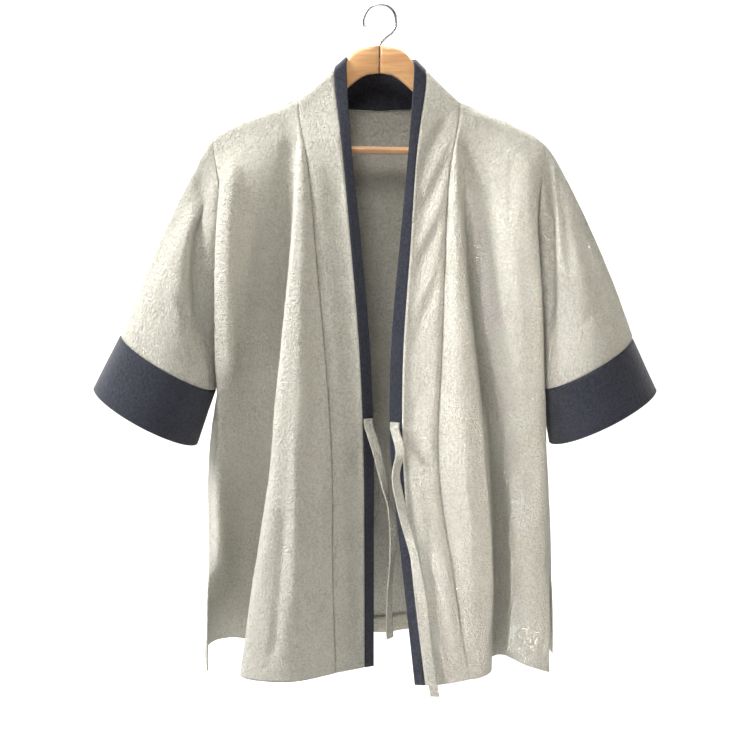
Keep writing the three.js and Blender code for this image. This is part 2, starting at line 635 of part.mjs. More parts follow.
function sleeveFold({ share, half }, t) {
  let out = 0;
  for (const fold of SLEEVE_FOLDS) {
    const near = fold.half === half ? bump((share - fold.at) / fold.width) : 0;
    const fade = Math.sin(Math.PI * Math.min(t / fold.fades, 1));
    out += fold.out * near * Math.max(fade, 0);
  }
  return out;
}

function sleeveRows(side) {
  const arm = armhole(side);
  const around = shares(arm);
  const cuff = cuffLoop(side, 'seam', around);
  const axis = sleeveAxis(side);
  return SLEEVE_ROWS.map((t) => arm.points.map((start, k) => {
    const length = start.distanceTo(cuff[k]);
    const swell = Math.sin(Math.PI * around[k].share);
    const fall = THREE.MathUtils.lerp(SLEEVE_FALL.top, SLEEVE_FALL.side, swell);
    const spread = around[k].forward * SLEEVE_SPREAD * swell;
    const leave = new THREE.Vector3(SIDE_SIGN[side], spread, -fall).normalize();
    const reach = length * THREE.MathUtils.lerp(SLEEVE_LEAVE.top, SLEEVE_LEAVE.side, swell);
    const run = start.clone().multiplyScalar(2 * t ** 3 - 3 * t ** 2 + 1)
      .addScaledVector(leave, (t ** 3 - 2 * t ** 2 + t) * reach)
      .addScaledVector(cuff[k], 3 * t ** 2 - 2 * t ** 3)
      .addScaledVector(axis, (t ** 3 - t ** 2) * length);
    run.y += around[k].forward * sleeveFold(around[k], t);
    return run;
  }));
}

// Normals of a tube of rings, from the neighbouring points.
function tubeNormals(rings, flip) {
  const around = rings[0].length;
  return rings.map((ring, v) => ring.map((_, u) => {
    const along = ring[(u + 1) % around].clone().sub(ring[(u + around - 1) % around]);
    const down = rings[Math.min(v + 1, rings.length - 1)][u].clone().sub(rings[Math.max(v - 1, 0)][u]);
    return along.cross(down).multiplyScalar(flip).normalize();
  }));
}

function sleeve(side) {
  const rings = sleeveRows(side);
  const flip = SIDE_SIGN[side];
  const normals = tubeNormals(rings, flip);
  for (const normal of normals[0]) normal.setX(0).normalize();
  pullBackTop(rings, SEAM_GAP);
  return clothWall(`${side}_sleeve`, rings, normals, LINEN, 'linen', { flip, round: true });
}

function cuff(side) {
  const around = shares(armhole(side));
  const top = cuffLoop(side, 'seam', around);
  const mouth = cuffLoop(side, 'mouth', around);
  const rings = CUFF_ROWS.map((t) => top.map((p, k) => p.clone().lerp(mouth[k], t)));
  const flip = SIDE_SIGN[side];
  const normals = tubeNormals(rings, flip);
  pullBackTop(rings, SEAM_GAP);
  return clothWall(`${side}_cuff`, rings, normals, BAND_WALL, 'darkLinen', { flip, round: true });
}

// ---------------------------------------------------------------- ties
// The stitched end lies on the edging, just off its outer face.
function tieSeat(side, z, off) {
  const middle = 0.5;
  const top = frontPoint(side, middle, 0).z;
  const s = (z - top) / (HEM_Z - top);
  const across = frontPoint(side, 1, s).sub(frontPoint(side, 0, s)).multiplyScalar(SIDE_SIGN[side]);
  const p = frontPoint(side, middle, s);
  p.addScaledVector(frontNormal(side, middle, s), TIE_WALL + off);
  return { x: p.x, y: p.y, z: p.z, turn: THREE.MathUtils.radToDeg(Math.atan2(across.y, across.x)) };
}

function tie(name, side, hanging) {
  const route = [...TIE_SEAT.map(({ z, off }) => tieSeat(side, z, off)), ...hanging];
  const knots = route.map((_, k) => k);
  const middle = route.map(({ x, y, z }) => new THREE.Vector3(x, y, z));
  const turns = route.map(({ turn }) => new THREE.Vector3(turn, 0, 0));
  const points = [];
  const normals = [];
  for (const at of steps(0, route.length - 1, 2)) {
    const p = smoothRun(knots, middle, at);
    const turn = THREE.MathUtils.degToRad(smoothRun(knots, turns, at).x);
    const across = new THREE.Vector3(Math.cos(turn), Math.sin(turn), 0);
    const below = smoothRun(knots, middle, Math.min(at + TIE_NEAR, route.length - 1));
    const down = below.sub(smoothRun(knots, middle, Math.max(at - TIE_NEAR, 0)));
    const normal = across.clone().cross(down).negate().normalize();
    points.push([-0.5, 0.5].map((half) => p.clone().addScaledVector(across, half * TIE_WIDTH)));
    normals.push([normal, normal]);
  }
  return clothWall(name, points, normals, TIE_WALL, 'linen', { flip: -1 });
}

// ---------------------------------------------------------------- hanger
function solidOf(geometry) {
  const bare = geometry.clone();
  bare.deleteAttribute('normal');
  bare.deleteAttribute('uv');
  const merged = mergeVertices(bare, 1e-4);
  const vertProperties = new Float32Array(merged.attributes.position.array);
  const triVerts = new Uint32Array(merged.index.array);
  return new wasm.Manifold(new wasm.Mesh({ numProp: 3, vertProperties, triVerts }));
}

function geometryOf(solid) {
  const { vertProperties, triVerts } = solid.getMesh();
  const geometry = new THREE.BufferGeometry();
  geometry.setAttribute('position', new THREE.BufferAttribute(vertProperties, 3));
  geometry.setIndex(new THREE.BufferAttribute(triVerts, 1));
  geometry.computeVertexNormals();
  return geometry;
}

function barGeometry(radius, halfLength) {
  return new THREE.CylinderGeometry(radius, radius, 2 * halfLength, ROUND_SIDES)
    .rotateZ(Math.PI / 2).translate(0, 0, BAR_Z);
}

// One wooden arm: its side outline, extruded front to back with rounded edges, and bored for the bar and
// for the hook's wire.
function hangerArm(side) {
  const sign = SIDE_SIGN[side];
  const reaches = [ARM_JOINT, ...ARM_SECTIONS, ARM_TIP - ARM_ROUND];
  const upper = (r) => profileAt(r, 'top');
  const under = (r) => profileAt(r, 'top') - profileAt(r, 'height');
  const inset = (edge, r) => ARM_ROUND * Math.hypot(1, (edge(r + 1) - edge(r - 1)) / 2);
  const upperEdge = reaches.map((r) => [sign * r, upper(r) - inset(upper, r)]);
  const lowerEdge = reaches.map((r) => [sign * r, under(r) + inset(under, r)]);
  const outline = [...upperEdge, ...lowerEdge.reverse()].map(([x, z]) => new THREE.Vector2(x, z));
  const slab = new THREE.ExtrudeGeometry(new THREE.Shape(outline), {
    depth: ARM_THICK - 2 * ARM_ROUND,
    bevelEnabled: true,
    bevelThickness: ARM_ROUND,
    bevelSize: ARM_ROUND,
    bevelSegments: 3,
  });
  slab.rotateX(Math.PI / 2).translate(0, ARM_THICK / 2 - ARM_ROUND, 0);
  const boreRadius = WIRE_RADIUS + 2 * BORE_CLEARANCE;
  const wireBore = new THREE.CylinderGeometry(boreRadius, boreRadius, BORE_LENGTH, ROUND_SIDES)
    .rotateX(Math.PI / 2).translate(0, 0, STEM_FOOT_Z + BORE_LENGTH / 2 - BORE_CLEARANCE);
  const solid = solidOf(slab)
    .subtract(solidOf(barGeometry(BAR_RADIUS + BORE_CLEARANCE, BAR_REACH + BORE_CLEARANCE)))
    .subtract(solidOf(wireBore));
  return meshOf(`hanger_arm_${side}`, geometryOf(solid), 'wood');
}

function hook() {
  const bend = HOOK_INSIDE + WIRE_RADIUS;
  const points = STEM.map((z) => new THREE.Vector3(0, 0, z));
  for (let degrees = HOOK_TURN.from; degrees <= HOOK_TURN.to; degrees += HOOK_TURN.step) {
    const angle = THREE.MathUtils.degToRad(degrees);
    points.push(new THREE.Vector3(bend * Math.cos(angle), 0, bend * Math.sin(angle) - HOOK_INSIDE));
  }
  const path = new THREE.CatmullRomCurve3(points);
  const wire = new THREE.Shape().absarc(0, 0, WIRE_RADIUS, 0, Math.PI * 2, false);
  const geometry = new THREE.ExtrudeGeometry(wire, {
    extrudePath: path,
    steps: WIRE_FACETS.along,
    curveSegments: WIRE_FACETS.quarter,
    bevelEnabled: false,
  });
  return meshOf('hook', geometry, 'steel');
}

// ---------------------------------------------------------------- assembly
const jacket = new THREE.Group();
jacket.add(backPanel(), backHem());
for (const side of ['right', 'left']) {
  jacket.add(front(side), band(side), edging(side), sleeve(side), cuff(side));
}
jacket.add(neckFacing());
jacket.add(tie('right_tie', 'right', RIGHT_TIE), tie('left_tie', 'left', LEFT_TIE));

const hanger = new THREE.Group();
hanger.rotation.y = HANGER_TILT;
hanger.add(hangerArm('right'), hangerArm('left'), hook());
hanger.add(meshOf('trouser_bar', barGeometry(BAR_RADIUS, BAR_REACH), 'wood'));

const part = new THREE.Group();
part.add(jacket, hanger);

export default part;
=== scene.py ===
"""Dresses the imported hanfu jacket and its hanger: creased linen, dark borders, wood and wire."""

import logging
import math
from dataclasses import dataclass, field
from enum import Enum

import bmesh
import bpy
import numpy as np
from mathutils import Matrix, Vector, noise


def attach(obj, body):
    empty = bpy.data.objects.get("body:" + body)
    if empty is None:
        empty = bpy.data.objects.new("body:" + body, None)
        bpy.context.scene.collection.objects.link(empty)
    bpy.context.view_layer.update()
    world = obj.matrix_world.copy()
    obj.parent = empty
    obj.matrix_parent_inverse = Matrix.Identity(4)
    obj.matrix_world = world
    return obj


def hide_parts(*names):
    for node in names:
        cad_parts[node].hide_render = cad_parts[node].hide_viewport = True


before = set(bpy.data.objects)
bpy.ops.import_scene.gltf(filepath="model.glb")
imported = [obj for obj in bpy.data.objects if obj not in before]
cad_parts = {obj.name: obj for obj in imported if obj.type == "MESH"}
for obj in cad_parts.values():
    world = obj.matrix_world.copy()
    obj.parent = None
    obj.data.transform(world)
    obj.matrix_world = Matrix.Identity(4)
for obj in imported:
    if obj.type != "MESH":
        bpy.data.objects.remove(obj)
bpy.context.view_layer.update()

LOG = logging.getLogger("jacket")
MM = 0.001
MERGE = 0.00001  # points of a node closer than this are one
BORDER_EDGES = 4  # edges that meet at a border point, except at a corner
CLOTH_UV = "cloth"
SEAM_LAYER = "seam"
RIM_TOLERANCE = 0.003  # share of the wall by which a rim's edges may differ from it
SEAM_REACH = 0.3  # millimetres that a sewn edge is moved out
SEAM_DIP = 0.9  # millimetres that the stitches pull a seam in
SEAM_DIP_WIDTH = 1.5  # millimetres from a seam over which that dip fades
SETTLE = 45.0  # millimetres below the wood over which the creases grow to full depth
ON_WOOD = 0.15  # share of the creases that shows where the cloth lies on the wood
UNSEWN = 1.0  # metres, the distance to a seam where a piece has none
LEAST_FADE = 1e-6  # keeps the fade of an unfaded end from dividing by nothing
SMOOTH_ANGLE = 40.0  # degrees; edges of wood and wire that bend more stay sharp
ROOT = "root"

# ---------------------------------------------------------------- options


class Side(Enum):
    """The wearer's side a piece belongs to; the value is the sign of its x."""

    RIGHT = -1
    LEFT = 1

    @property
    def word(self) -> str:
        """The side's name, as the nodes use it."""
        return self.name.lower()


class Sewn(Enum):
    """The borders of a cloth grid that are sewn to another piece, where creases fade out."""

    FIRST = "first column"
    LAST = "last column"
    TOP = "top row"
    BOTTOM = "bottom row"


class Outward(Enum):
    """Which way the outer face of a piece looks."""

    FRONT = (0.0, -1.0, 0.0)
    BACK = (0.0, 1.0, 0.0)
    AROUND = (0.0, 0.0, 0.0)


def ease(share: np.ndarray) -> np.ndarray:
    """Turns a straight rise from 0 to 1 into a smooth one."""
    return share * share * (3 - 2 * share)


# ---------------------------------------------------------------- shader helpers


class Shader:
    """Adds nodes to a node tree and wires them with short calls."""

    def __init__(self, tree: bpy.types.NodeTree) -> None:
        """Starts on an emptied tree."""
        self.tree = tree
        tree.nodes.clear()

    def add(self, kind: str, **settings: object) -> bpy.types.Node:
        """Adds one node.

        Args:
            kind: Blender's type name of the node.
            settings: Its properties, or the values of its inputs where no property has that name.

        Returns:
            The new node.
        """
        node = self.tree.nodes.new(kind)
        for name, value in settings.items():
            if hasattr(node, name):
                setattr(node, name, value)
            else:
                node.inputs[name.replace("_", " ")].default_value = value
        return node

    def link(self, out: bpy.types.NodeSocket, into: bpy.types.NodeSocket) -> None:
        """Wires one socket to another."""
        self.tree.links.new(out, into)

    def math(self, operation: str, a: object, b: object = 0.0) -> bpy.types.NodeSocket:
        """Adds a Math node.

        Args:
            operation: Blender's name of the operation.
            a: The first value, a number or a socket.
            b: The second value.

        Returns:
            The node's output.
        """
        node = self.add("ShaderNodeMath", operation=operation)
        for socket, value in zip(node.inputs, (a, b)):
            if isinstance(value, bpy.types.NodeSocket):
                self.link(value, socket)
            else:
                socket.default_value = value
        return node.outputs[0]

    def remap(self, value: bpy.types.NodeSocket, low: float, high: float, to_low: float = 0.0,
              to_high: float = 1.0) -> bpy.types.NodeSocket:
        """Maps a range of values to another, smoothly and clamped.

        Args:
            value: The socket to map.
            low: Value that becomes to_low.
            high: Value that becomes to_high.
            to_low: Result at the low end.
            to_high: Result at the high end.

        Returns:
            The mapped socket.
        """
        node = self.add("ShaderNodeMapRange", interpolation_type="SMOOTHSTEP")
        self.link(value, node.inputs[0])
        for index, number in enumerate((low, high, to_low, to_high), start=1):
            node.inputs[index].default_value = number
        return node.outputs[0]

    def mix(self, share: bpy.types.NodeSocket, a: object, b: object) -> bpy.types.NodeSocket:
        """Mixes two colours.

        Args:
            share: How much of b shows.
            a: A colour or a socket.
            b: A colour or a socket.

        Returns:
            The mixed colour.
        """
        node = self.add("ShaderNodeMix", data_type="RGBA")
        self.link(share, node.inputs[0])
        for socket, value in zip((node.inputs[6], node.inputs[7]), (a, b)):
            if isinstance(value, bpy.types.NodeSocket):
                self.link(value, socket)
            else:
                socket.default_value = (*value, 1.0)
        return node.outputs[2]

    def noise(self, vector: bpy.types.NodeSocket, scale: float, detail: float = 2.0,
              distortion: float = 0.0) -> bpy.types.NodeSocket:
        """Adds a noise texture.

        Args:
            vector: Where it is read.
            scale: Waves per unit of the vector.
            detail: Octaves.
            distortion: How far it is warped by itself.

        Returns:
            The noise value.
        """
        node = self.add("ShaderNodeTexNoise", Scale=scale, Detail=detail, Distortion=distortion)
        self.link(vector, node.inputs["Vector"])
        return node.outputs["Fac"]

    def stretch(self, vector: bpy.types.NodeSocket, scale: tuple[float, float, float],
                turn: float = 0.0) -> bpy.types.NodeSocket:
        """Turns and stretches a vector.

        Args:
            vector: The vector.
            scale: Factor along each axis, after the turn.
            turn: Degrees about the third axis.

        Returns:
            The mapped vector.
        """
        turned = self.add("ShaderNodeMapping")
        turned.inputs["Rotation"].default_value = (0.0, 0.0, math.radians(turn))
        self.link(vector, turned.inputs["Vector"])
        scaled = self.add("ShaderNodeMapping")
        scaled.inputs["Scale"].default_value = scale
        self.link(turned.outputs[0], scaled.inputs["Vector"])
        return scaled.outputs[0]

    def bump(self, height: bpy.types.NodeSocket, surface: bpy.types.Node, strength: float = 1.0,
             distance: float = 1.0) -> None:
        """Gives a surface relief.

        Args:
            height: The relief's height.
            surface: The surface's node.
            strength: Share of the relief that shows.
            distance: Metres that a height of 1 stands for.
        """
        node = self.add("ShaderNodeBump", Strength=strength, Distance=distance)
        self.link(height, node.inputs["Height"])
        self.link(node.outputs[0], surface.inputs["Normal"])


def new_group(name: str, inputs: dict[str, float | None], outputs: list[str]) -> tuple[
        Shader, dict[str, bpy.types.NodeSocket], bpy.types.Node]:
    """Makes an empty shader node group with named sockets.

    Args:
        name: The group's name.
        inputs: Name to default value; None makes a vector socket.
        outputs: Names of the float outputs.

    Returns:
        The group's shader helper, its input sockets by name and its output node.
    """
    tree = bpy.data.node_groups.new(name, "ShaderNodeTree")
    shader = Shader(tree)
    for socket, default in inputs.items():
        kind = "NodeSocketVector" if default is None else "NodeSocketFloat"
        made = tree.interface.new_socket(name=socket, in_out="INPUT", socket_type=kind)
        if default is not None:
            made.default_value = default
    for socket in outputs:
        tree.interface.new_socket(name=socket, in_out="OUTPUT", socket_type="NodeSocketFloat")
    entry = shader.add("NodeGroupInput")
    leave = shader.add("NodeGroupOutput")
    return shader, {name: entry.outputs[name] for name in inputs}, leave


# ---------------------------------------------------------------- effects that cloths share


def weave_group() -> bpy.types.NodeTree:
    """Plain weave of uneven yarns, read from a vector in metres along and across the cloth.

    Returns:
        The group, with the outputs Height and Slub.
    """
    shader, given, leave = new_group(
        "plain weave", {"Vector": None, "Threads": 900.0, "Slub": 1.0}, ["Height", "Slub"])
    split = shader.add("ShaderNodeSeparateXYZ")
    shader.link(given["Vector"], split.inputs[0])
    crossings = []
    for axis in (0, 1):
        wander = shader.noise(given["Vector"], 260.0, 1.0)
        shift = shader.math("MULTIPLY", wander, 0.0012)
        place = shader.math("ADD", split.outputs[axis], shift)
        turns = shader.math("MULTIPLY", place, given["Threads"])
        wave = shader.math("SINE", shader.math("MULTIPLY", turns, 2 * math.pi))
        crossings.append(wave)
    cloth = shader.math("MULTIPLY", crossings[0], crossings[1])
    slubs = []
    for scale in ((1300.0, 90.0, 1.0), (90.0, 1300.0, 1.0)):
        slubs.append(shader.noise(shader.stretch(given["Vector"], scale), 1.0, 2.0))
    yarn = shader.math("ADD", slubs[0], slubs[1])
    uneven = shader.math("MULTIPLY", shader.math("SUBTRACT", yarn, 1.0), given["Slub"])
    height = shader.math("ADD", shader.math("MULTIPLY", cloth, 0.25), uneven)
    shader.link(height, leave.inputs["Height"])
    shader.link(uneven, leave.inputs["Slub"])
    return shader.tree


def crinkle_group() -> bpy.types.NodeTree:
    """Short broken crinkles of washed linen, slanting one way.

    Returns:
        The group, with the output Height.
    """
    shader, given, leave = new_group(
        "washed crinkle", {"Vector": None, "Size": 1.0}, ["Height"])
    scaled = shader.add("ShaderNodeVectorMath", operation="SCALE")
    shader.link(given["Vector"], scaled.inputs[0])
    shader.link(given["Size"], scaled.inputs["Scale"])
    layers = []
    for turn, scale, share in ((32.0, (150.0, 70.0, 1.0), 0.42), (-20.0, (280.0, 150.0, 1.0), 0.42),
                               (50.0, (560.0, 380.0, 1.0), 0.4)):
        slanted = shader.stretch(scaled.outputs[0], scale, turn)
        value = shader.noise(slanted, 1.0, 2.0, 0.8)
        ridge = shader.math("ABSOLUTE", shader.math("SUBTRACT", value, 0.5))
        layers.append(shader.math("MULTIPLY", ridge, share * 2))
    total = shader.math("ADD", shader.math("ADD", layers[0], layers[1]), layers[2])
    shader.link(total, leave.inputs["Height"])
    return shader.tree


def mottle_group() -> bpy.types.NodeTree:
    """Soft uneven tone, in broad clouds and small flecks.

    Returns:
        The group, with the outputs Cloud and Fleck.
    """
    shader, given, leave = new_group("mottle", {"Vector": None}, ["Cloud", "Fleck"])
    cloud = shader.remap(shader.noise(given["Vector"], 16.0, 3.0), 0.35, 0.65)
    fleck = shader.remap(shader.noise(given["Vector"], 340.0, 3.0), 0.35, 0.65)
    shader.link(cloud, leave.inputs["Cloud"])
    shader.link(fleck, leave.inputs["Fleck"])
    return shader.tree


@dataclass(frozen=True)
class Finish:
    """The surface of a piece; each kind of finish wires its own nodes."""

    name: str
    slot: str

    def material(self) -> bpy.types.Material:
        """Builds the finish's material once.

        Returns:
            The material.
        """
        made = bpy.data.materials.get(self.name)
        if made:
            return made
        made = bpy.data.materials.new(self.name)
        made.use_nodes = True
        shader = Shader(made.node_tree)
        surface = shader.add("ShaderNodeBsdfPrincipled")
        self.dress(shader, surface)
        shader.link(surface.outputs[0], shader.add("ShaderNodeOutputMaterial").inputs[0])
        return made

    def dress(self, shader: Shader, surface: bpy.types.Node) -> None:
        """Wires what colours, roughens and raises the surface.

        Args:
            shader: The material's helper.
            surface: The Principled node.
        """
        raise NotImplementedError


@dataclass(frozen=True)
class ClothFinish(Finish):
    """A woven cloth: its colours, in linear values, and how strongly its surface shows."""

    light: tuple[float, float, float]
    dark: tuple[float, float, float]
    fleck: float
    roughness: float
    sheen: float
    threads: float
    crinkle: float
    weave: float

    def dress(self, shader: Shader, surface: bpy.types.Node) -> None:
        """Wires the weave, the crinkles and the uneven tone.

        Args:
            shader: The material's helper.
            surface: The Principled node.
        """
        surface.inputs["Sheen Weight"].default_value = self.sheen
        surface.inputs["Sheen Roughness"].default_value = 0.5
        surface.inputs["Specular IOR Level"].default_value = 0.2
        spread = shader.add("ShaderNodeUVMap", uv_map=CLOTH_UV)
        body = shader.add("ShaderNodeTexCoord")
        weave = self.group(shader, "plain weave", spread.outputs[0])
        weave.inputs["Threads"].default_value = self.threads
        crinkle = self.group(shader, "washed crinkle", spread.outputs[0])
        mottle = self.group(shader, "mottle", body.outputs["Object"])
        tone = shader.math("MULTIPLY", mottle.outputs["Cloud"], 0.12)
        tone = shader.math("ADD", tone, shader.math("MULTIPLY", mottle.outputs["Fleck"], self.fleck))
        tone = shader.math("ADD", tone, shader.math("MULTIPLY", weave.outputs["Slub"], 0.5))
        tone = shader.remap(tone, 0.0, 1.0)
        shader.link(shader.mix(tone, self.light, self.dark), surface.inputs["Base Color"])
        rough = shader.remap(weave.outputs["Slub"], -0.5, 0.5, self.roughness - 0.06, self.roughness)
        shader.link(rough, surface.inputs["Roughness"])
        relief = shader.math("ADD", shader.math("MULTIPLY", crinkle.outputs["Height"], self.crinkle),
                             shader.math("MULTIPLY", weave.outputs["Height"], self.weave))
        shader.bump(relief, surface)

    @staticmethod
    def group(shader: Shader, name: str, vector: bpy.types.NodeSocket) -> bpy.types.Node:
        """Places a shared group in a material.

        Args:
            shader: The material's helper.
            name: The group's name.
            vector: What its Vector input reads.

        Returns:
            The group's node.
        """
        tree = bpy.data.node_groups.get(name) or GROUPS[name]()
        node = shader.add("ShaderNodeGroup", node_tree=tree)
        shader.link(vector, node.inputs["Vector"])
        return node


GROUPS = {"plain weave": weave_group, "washed crinkle": crinkle_group, "mottle": mottle_group}


@dataclass(frozen=True)
class WoodFinish(Finish):
    """Pale lacquered wood with its grain along x."""

    name: str = "lacquered wood"
    slot: str = "wood"
    light: tuple[float, float, float] = (0.62, 0.36, 0.17)
    dark: tuple[float, float, float] = (0.42, 0.21, 0.09)
    roughness: float = 0.38

    def dress(self, shader: Shader, surface: bpy.types.Node) -> None:
        """Wires the grain and the lacquer.

        Args:
            shader: The material's helper.
            surface: The Principled node.
        """
        surface.inputs["Coat Weight"].default_value = 0.25
        surface.inputs["Coat Roughness"].default_value = 0.25
        place = shader.add("ShaderNodeTexCoord").outputs["Object"]
        rings = shader.noise(shader.stretch(place, (9.0, 90.0, 90.0)), 1.0, 3.0, 0.6)
        pores = shader.noise(shader.stretch(place, (60.0, 900.0, 900.0)), 1.0, 2.0)
        tone = shader.math("ADD", shader.remap(rings, 0.3, 0.7, 0.0, 0.75),
                           shader.remap(pores, 0.5, 0.75, 0.0, 0.35))
        shader.link(shader.mix(tone, self.light, self.dark), surface.inputs["Base Color"])
        rough = shader.remap(pores, 0.3, 0.7, self.roughness - 0.05, self.roughness + 0.08)
        shader.link(rough, surface.inputs["Roughness"])
        shader.bump(pores, surface, strength=0.25, distance=0.0004)


@dataclass(frozen=True)
class WireFinish(Finish):
    """Polished steel wire with faint drawing marks."""

    name: str = "steel wire"
    slot: str = "steel"
    colour: tuple[float, float, float] = (0.62, 0.63, 0.64)

    def dress(self, shader: Shader, surface: bpy.types.Node) -> None:
        """Wires the steel and its drawing marks.

        Args:
            shader: The material's helper.
            surface: The Principled node.
        """
        surface.inputs["Metallic"].default_value = 1.0
        place = shader.add("ShaderNodeTexCoord").outputs["Object"]
        marks = shader.noise(place, 700.0, 3.0)
        tint = tuple(value * 0.8 for value in self.colour)
        shader.link(shader.mix(marks, self.colour, tint), surface.inputs["Base Color"])
        shader.link(shader.remap(marks, 0.2, 0.8, 0.2, 0.38), surface.inputs["Roughness"])


LINEN = ClothFinish(
    name="washed linen", slot="linen", light=(0.64, 0.62, 0.545), dark=(0.40, 0.38, 0.315),
    fleck=0.42, roughness=0.95, sheen=0.1, threads=850.0, crinkle=0.0075, weave=0.0005)
LINEN_INSIDE = ClothFinish(
    name="washed linen inside", slot="linen_inside", light=(0.62, 0.59, 0.5), dark=(0.42, 0.39, 0.31),
    fleck=0.42, roughness=0.95, sheen=0.1, threads=850.0, crinkle=0.0066, weave=0.0005)
DARK_LINEN = ClothFinish(
    name="dark linen", slot="dark_linen", light=(0.024, 0.026, 0.039), dark=(0.010, 0.011, 0.016),
    fleck=0.6, roughness=0.9, sheen=0.2, threads=850.0, crinkle=0.0012, weave=0.0002)

# ---------------------------------------------------------------- cloth pieces


@dataclass
class Crease:
    """A soft trough or ridge pressed into a cloth, along a line given from in front, in millimetres."""

    line: list[tuple[float, float]]  # x and z of its points
    width: float
    depth: float  # above 0 for a ridge, below for a trough
    fade: float = 0.25  # share of its length over which each end fades

    def push(self, points: np.ndarray) -> np.ndarray:
        """How far the crease moves each point along its normal.

        Args:
            points: Places in millimetres, one row each.

        Returns:
            The moves in millimetres.
        """
        line = np.array(self.line, float)
        spans = np.linalg.norm(np.diff(line, axis=0), axis=1)
        starts = np.concatenate([[0.0], np.cumsum(spans)[:-1]])
        seen = points[:, [0, 2]]
        nearest = np.full(len(points), np.inf)
        along = np.zeros(len(points))
        for a, b, span, start in zip(line, line[1:], spans, starts):
            share = np.clip(((seen - a) @ (b - a)) / span ** 2, 0, 1)
            away = np.linalg.norm(seen - a - share[:, None] * (b - a), axis=1)
            closer = away < nearest
            nearest = np.where(closer, away, nearest)
            along = np.where(closer, start + share * span, along)
        position = along / spans.sum()
        ends = ease(np.clip(np.minimum(position, 1 - position) / max(self.fade, LEAST_FADE), 0, 1))
        return self.depth * ends * np.exp(-((nearest / self.width) ** 2))


@dataclass
class Fold:
    """A fold's edge: on one side the cloth sinks steeply behind it, and rises again slowly."""

    line: list[tuple[float, float]]  # x and z of the edge from the top down, in millimetres
    side: int  # the side the cloth sinks on: -1 towards the wearer's right, 1 towards the left
    width: float  # over which it rises again
    depth: float  # how far back it sinks
    lip: float = 3.5  # width of the steep part
    fade: float = 0.15  # share of its height over which each end fades

    def push(self, points: np.ndarray) -> np.ndarray:
        """How far the fold moves each point away from the outer side.

        Args:
            points: Places in millimetres, one row each.

        Returns:
            The moves in millimetres.
        """
        heights = [z for _, z in self.line][::-1]
        edge = np.interp(points[:, 2], heights, [x for x, _ in self.line][::-1])
        past = (points[:, 0] - edge) * self.side
        shape = np.where(past > 0, np.exp(-((past / self.width) ** 2)), np.exp(-((past / self.lip) ** 2)))
        share = np.clip((points[:, 2] - heights[0]) / (heights[-1] - heights[0]), 0, 1)
        ends = ease(np.clip(np.minimum(share, 1 - share) / max(self.fade, LEAST_FADE), 0, 1))
        return self.depth * shape * ends


@dataclass
class Ripple:
    """Uneven waves all over a cloth: their length along and across it and their height, in millimetres."""

    across: float
    down: float
    height: float
    seed: float
    slant: float = 0.0  # how far it leans, in x per z
    sharp: bool = False  # folded ridges in place of round waves

    def push(self, points: np.ndarray) -> np.ndarray:
        """How far the ripple moves each point along its normal.

        Args:
            points: Places in millimetres, one row each.

        Returns:
            The moves in millimetres.
        """
        moves = np.empty(len(points))
        for index, (x, y, z) in enumerate(points):
            place = Vector(((x + self.slant * z) / self.across + self.seed, y / self.across, z / self.down))
            value = noise.noise(place)
            moves[index] = 0.35 - abs(value) * 2 if self.sharp else value
        return moves * self.height


